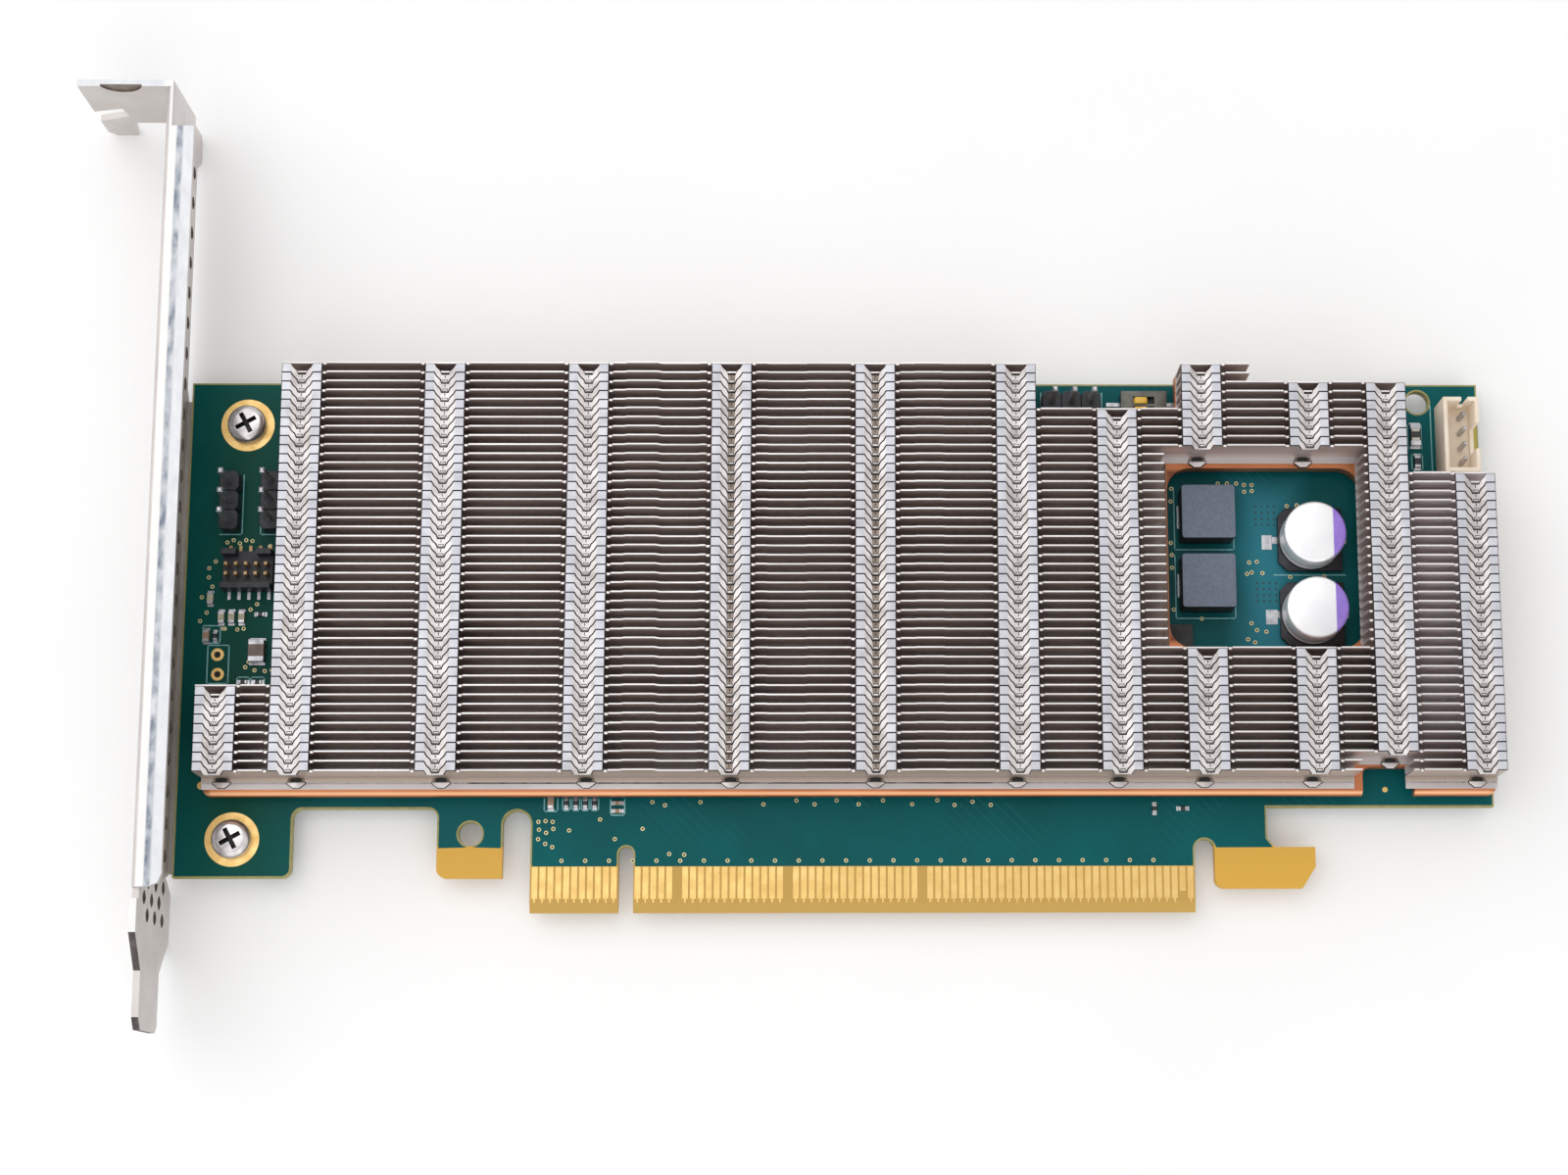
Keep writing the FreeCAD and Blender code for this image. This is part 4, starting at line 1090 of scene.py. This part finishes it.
inductor_set = []
for x, y in ((131.60, 51.05), (131.50, 42.00)):
    body = block("inductor", (x - INDUCTOR_HALF_X, y - INDUCTOR_HALF_Y, 0.1),
                 (x + INDUCTOR_HALF_X, y + INDUCTOR_HALF_Y, inductor_top))
    open_up(body)
    pick("EDGE", is_upright)
    bevel(0.35, 2)
    pick("FACE", faces_up)
    inset(0.10)
    close_up()
    inductor_set.append(ease(body, 0.12))
inductor_blocks = join("inductor_blocks", inductor_set)
coat(inductor_blocks, powder)
coat(inductor_blocks, powder_in_shade, lambda face: face.normal.z < 0.5)
settle(inductor_blocks, "inductor_grey", "inductors")
coat(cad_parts["inductor_terminals"], tin)


# ------------------------------------------------------------------ polymer capacitors
# Two drawn aluminium cans, rolled in above the moulded black base that their leads pass through. A
# lilac mark is printed on one side of each.

CAN_RADIUS = 4.0
GROOVE_UP = 0.85
MARK_OUT = 2.25
BASE_HALF = 4.15
can_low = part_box("capacitor_cans")[0].z / MM
can_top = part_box("capacitor_cans")[1].z / MM
groove_z = mm_at(0, 0, can_low + GROOVE_UP).z
crown_z = mm_at(0, 0, can_top).z
mark_z = mm_at(0, 0, can_top - 0.2).z
can_silver = finish_of("can_aluminium", (252, 252, 253), (240, 240, 243), (0.24, 0.36), metal=0.4, bump=0.05)
can_lilac = finish_of("can_mark_lilac", (172, 140, 236), (158, 124, 224), (0.3, 0.42), scale=700, bump=0.05)
base_black = finish_of("moulded_black", (36, 38, 46), (22, 23, 29), (0.42, 0.58), scale=900, bump=0.12)
cans, bases = [], []
for x, y in ((145.05, 48.00), (145.10, 38.20)):
    mark_x = mm_at(x + MARK_OUT, 0, 0).x
    can = disc(x, y, CAN_RADIUS, can_low, can_top, 56)
    open_up(can)
    for up in (0.55, GROOVE_UP, 1.15):
        cut(mm_at(0, 0, can_low + up), (0, 0, 1))
    pick("VERT", lambda place, vertex: abs(place.z - groove_z) < 0.01 * MM)
    bpy.ops.transform.shrink_fatten(value=-0.28 * MM)
    pick("EDGE", lambda middle, edge: all(abs(end.co.z - crown_z) < 0.01 * MM for end in edge.verts))
    bevel(0.32, 3)
    cut(mm_at(x + MARK_OUT, 0, 0), (1, 0, 0))
    close_up()
    coat(can, can_silver)
    coat(can, can_lilac, lambda face: face.center.x > mark_x and face.center.z > mark_z)
    cans.append(can)
    foot = block("base", (x - BASE_HALF, y - BASE_HALF, 0.15), (x + BASE_HALF, y + BASE_HALF, can_low))
    open_up(foot)
    pick("EDGE", lambda middle, edge: is_upright(middle, edge) and middle.x < mm_at(x, 0, 0).x)
    bevel(1.1, 1)
    close_up()
    bases.append(ease(foot, 0.12))
    bases.append(ring(x, y, 3.9, 4.12, can_low, can_low + 0.35, 48))
settle(join("capacitor_can_set", cans), "can_aluminium", "capacitor_cans")
settle(coat(join("capacitor_base_set", bases), base_black), "header_black", "capacitor_bases")
coat(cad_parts["capacitor_leads"], tin)


# ------------------------------------------------------------------ pin headers
# Three-way headers: black moulded cells with nipped corners, and square pins with pointed tips that are
# pressed through them and soldered in the board.

PIN_PITCH = 2.54
CELL_HALF = 1.25
PIN_WIDTH = 0.64
header_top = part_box("left_header_bodies")[1].z / MM
pin_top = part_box("header_pins")[1].z / MM


def header_cell(x, y, along_y):
    """One cell of a header strip, its corners nipped so that the strip can be snapped between cells."""
    half_x, half_y = (CELL_HALF, PIN_PITCH / 2) if along_y else (PIN_PITCH / 2, CELL_HALF)
    cell = block("cell", (x - half_x, y - half_y, 0), (x + half_x, y + half_y, header_top))
    open_up(cell)
    pick("EDGE", is_upright)
    bevel(0.45, 1)
    close_up()
    return ease(cell, 0.08, 1)


def post(x, y, width, low, high, point=0.3):
    """A square pin with a pointed tip."""
    pin = block("pin", (x - width / 2, y - width / 2, low), (x + width / 2, y + width / 2, high - point))
    open_up(pin)
    pick("FACE", faces_up)
    draw_out(0, 0, point)
    pick("FACE", faces_up)
    bevel(width * 0.28, 1)
    close_up()
    return pin


left_cells, top_cells, pins = [], [], []
for step in (-1, 0, 1):
    for x, y in ((5.75, 52.80), (11.00, 52.80)):
        left_cells.append(header_cell(x, y + step * PIN_PITCH, True))
        pins.append(post(x, y + step * PIN_PITCH, PIN_WIDTH, header_top, pin_top))
    top_cells.append(header_cell(114.30 + step * PIN_PITCH, 66.10, False))
    pins.append(post(114.30 + step * PIN_PITCH, 66.10, PIN_WIDTH, header_top, pin_top))
settle(coat(join("left_header_strips", left_cells), base_black), "header_black", "left_header_bodies")
settle(coat(join("top_header_strip", top_cells), base_black), "header_black", "top_header_body")
settle(coat(join("header_pin_set", pins), tin), "solder", "header_pins")


# ------------------------------------------------------------------ debug header and fan header
# A small-pitch box header with gold pins and tinned feet, soldered flat on the board, and an ivory
# four-way fan header whose open shell keeps the plug the right way round.

coat(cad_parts["debug_header_body"], base_black)
pin_gold = finish_of("pin_gold", (176, 146, 104), (142, 114, 78), (0.3, 0.45), metal=0.6, scale=900)
paint_zone(pin_gold, (0, 38), (14, 42.35), (206, 206, 210), 0.05)
coat(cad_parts["debug_header_pins"], pin_gold)

FAN_PIN_PITCH = 2.0
FAN_PIN_WIDTH = 0.5
ivory = finish_of("moulded_ivory", (254, 241, 222), (244, 227, 205), scale=500)
housing = weld(copy_of(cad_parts["fan_header_housing"], "fan_header_shell"))
settle(coat(ease(housing, 0.10), ivory), "header_ivory", "fan_header_housing")
fan_pins = [post(164.85, 60.85 + (step - 1.5) * FAN_PIN_PITCH, FAN_PIN_WIDTH, 1.3, 5.0) for step in range(4)]
settle(coat(join("fan_header_pin_set", fan_pins), tin), "solder", "fan_header_pins")


# ------------------------------------------------------------------ two-way switch
# A sealed black moulding with a grey cover on its top, soldered to the board by four feet. A yellow
# slider moves in each of its two slots.

cover = finish_of("switch_cover", (112, 111, 104), (88, 87, 82), metal=0.2, scale=600)
yellow = finish_of("slider_yellow", (250, 208, 84), (236, 186, 52), (0.35, 0.5), scale=800)
switch = weld(copy_of(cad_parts["switch_body"], "switch_case"))
coat(ease(switch, 0.07), base_black)
switch_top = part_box("switch_body")[1].z
coat(switch, cover, lambda face: facing_up(face) and face.center.z > switch_top - 0.05 * MM)
settle(switch, "header_black", "switch_body")
coat(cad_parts["switch_leads"], tin)
for node, body in (("switch_slider_1", "slider_1"), ("switch_slider_2", "slider_2")):
    slider = weld(copy_of(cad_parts[node], node + "_nib"))
    settle(coat(ease(slider, 0.06), yellow), "slider_yellow", node, body=body)


# ------------------------------------------------------------------ small chip parts
# Resistors, capacitors, lamps and a fuse: sintered bodies with wrapped tinned ends. They sit on small
# tinned lands, to which their ends are soldered.

tan = finish_of("ceramic_tan", (176, 148, 120), (150, 124, 98), scale=900)
dark = finish_of("resistor_dark", (40, 40, 44), (28, 28, 32), (0.3, 0.5), scale=900)
lamp = finish_of("lamp_resin", (206, 200, 176), (176, 170, 140), (0.2, 0.35), scale=700)
brown = finish_of("ceramic_brown", (134, 120, 108), (112, 99, 88), scale=900)
fuse_white = finish_of("fuse_white", (236, 233, 226), (214, 210, 202), (0.4, 0.5), scale=600)
WRAP_FROM = 0.27
LAND_GROW = 0.3
LAND_Z = MASK_THICK + 0.05


def chip_part(x, y, length, width, height, body):
    """A chip part whose outer quarters are wrapped in tin; it lies along its longer side."""
    part = block("chip", (x - length / 2, y - width / 2, 0), (x + length / 2, y + width / 2, height))
    along = Vector((1, 0, 0)) if length > width else Vector((0, 1, 0))
    reach = max(length, width) * WRAP_FROM
    middle = mm_at(x, y, 0)
    open_up(part)
    for side in (-reach, reach):
        cut(middle + along * side * MM, along)
    close_up()
    coat(ease(part, 0.05, 1), body)
    return coat(part, tin, lambda face: abs((face.center - middle).dot(along)) > reach * MM)


def land(x, y, length, width):
    """The solder lands at both ends of a chip part."""
    half_x, half_y = length / 2, width / 2
    if length > width:
        spans = [(x - half_x - LAND_GROW, x - length / 4), (x + length / 4, x + half_x + LAND_GROW)]
        corners = [(low, y - half_y, high, y + half_y) for low, high in spans]
    else:
        spans = [(y - half_y - LAND_GROW, y - width / 4), (y + width / 4, y + half_y + LAND_GROW)]
        corners = [(x - half_x, low, x + half_x, high) for low, high in spans]
    return [block("land", (x0, y0, MASK_THICK), (x1, y1, LAND_Z)) for x0, y0, x1, y1 in corners]


resistor_places = [
    (x, y, 0.55, 1.05, 0.4) for x, y in (
        (4.25, 35.42), (49.5, 13.85), (50.7, 13.85), (51.9, 13.85), (53.1, 13.85), (124.25, 13.1))]
resistor_places += [
    (x, y, 1.05, 0.55, 0.4) for x, y in ((9.92, 38.25), (8.0, 29.45), (9.85, 29.45), (127.85, 13.1))]
resistor_places.append((159.55, 58.5, 0.8, 1.6, 0.5))
kinds = [
    ("chip_capacitor_set", "chip_capacitors", "ceramic_tan", tan,
     [(3.15, 35.42, 0.8, 1.55, 0.75), (47.55, 13.95, 0.8, 1.55, 0.75), (56.0, 13.85, 1.0, 0.5, 0.5),
      (56.0, 12.85, 1.0, 0.5, 0.5)]),
    ("chip_resistor_set", "chip_resistors", "ceramic_dark", dark, resistor_places),
    ("status_lamp_set", "status_leds", "led_clear", lamp,
     [(x, y, 0.8, 1.5, 0.6) for x, y in ((3.45, 40.3), (4.95, 37.85), (6.25, 37.85), (7.55, 37.85))]),
    ("fuse_part", "fuse", "fuse_white", dark, [(159.35, 62.0, 1.35, 2.9, 0.85)]),
    ("large_capacitor_part", "large_chip_capacitor", "ceramic_tan", brown, [(9.70, 33.40, 2.0, 2.9, 1.3)]),
]
lands = []
for name, node, slot, body, places in kinds:
    parts = []
    for x, y, length, width, height in places:
        parts.append(chip_part(x, y, length, width, height, body))
        lands += land(x, y, length, width)
        if node == "fuse":
            for band_y in (y - 0.62, y + 0.62):
                parts.append(coat(block("band", (x - 0.5, band_y - 0.2, height - 0.05),
                                        (x + 0.5, band_y + 0.2, height + 0.03)), fuse_white))
    settle(join(name, parts), slot, node)
lands.append(block("land", (138.9, 46.8, MASK_THICK), (140.2, 48.7, 0.10)))
lands.append(block("land", (139.2, 36.95, MASK_THICK), (140.7, 38.85, 0.10)))
settle(coat(join("solder_lands", lands), tin), "solder")


# ------------------------------------------------------------------ floor, light and camera
# A plain white table under two soft square lamps, in a room with pale walls. The card is seen from
# above, as a product is shown.

def seen_directly(tree):
    """1 for what the camera sees straight, in a reflection or through something clear, and 0 for light."""
    rays = tree.nodes.new("ShaderNodeLightPath").outputs
    straight = reckon(tree, "MAXIMUM", rays["Is Camera Ray"], rays["Is Glossy Ray"])
    return reckon(tree, "MAXIMUM", straight, rays["Is Transmission Ray"])


low_corner, high_corner = cad_box
FLOOR_GAP = 0.02
floor_finish = finish_of("studio_white", (250, 250, 250), (247, 247, 247), (0.8, 0.9), scale=20)
hold()
bpy.ops.mesh.primitive_plane_add(size=6, location=(0, 0, low_corner.z - FLOOR_GAP * MM))
floor = bpy.context.object
floor.name = "floor"
coat(floor, floor_finish)
table = floor_finish.node_tree
table_shader = table.nodes["Principled BSDF"]
table_shader.inputs["Emission Color"].default_value = (1, 1, 1, 1)
feed(table, table_shader.inputs["Emission Strength"], reckon(table, "MULTIPLY", seen_directly(table), 0.10))

world = bpy.data.worlds.new("studio")
bpy.context.scene.world = world
world.use_nodes = True
sky = world.node_tree
backdrop = sky.nodes["Background"]
backdrop.inputs["Color"].default_value = (1, 1, 1, 1)
feed(sky, backdrop.inputs["Strength"], ranged(sky, seen_directly(sky), given=(0.6, 1.0)))


def lamp_panel(name, place, aim, size, power):
    """A soft square lamp at one place, turned to another."""
    light = bpy.data.lights.new(name, "AREA")
    light.shape = "SQUARE"
    light.size = size
    light.energy = power
    panel = bpy.data.objects.new(name, light)
    bpy.context.scene.collection.objects.link(panel)
    panel.location = place
    panel.rotation_euler = (Vector(aim) - Vector(place)).to_track_quat("-Z", "Y").to_euler()


card_middle = (low_corner + high_corner) / 2
lamp_panel("key_panel", card_middle + Vector((-0.45, 0.35, 0.80)), card_middle, 1.3, 4.6)
lamp_panel("fill_panel", card_middle + Vector((0.10, -0.75, 0.60)), card_middle, 1.0, 2.4)

lens = bpy.data.cameras.new("product_view")
lens.lens = 68.62
lens.sensor_width = 36
lens.shift_x = -0.06475
camera = bpy.data.objects.new("product_view", lens)
bpy.context.scene.collection.objects.link(camera)
camera.location = (0.02629, -0.03304, 0.3782)
camera.rotation_euler = (0.1954, -0.0170, -0.0032)
bpy.context.scene.camera = camera
bpy.context.scene.view_settings.view_transform = "Standard"
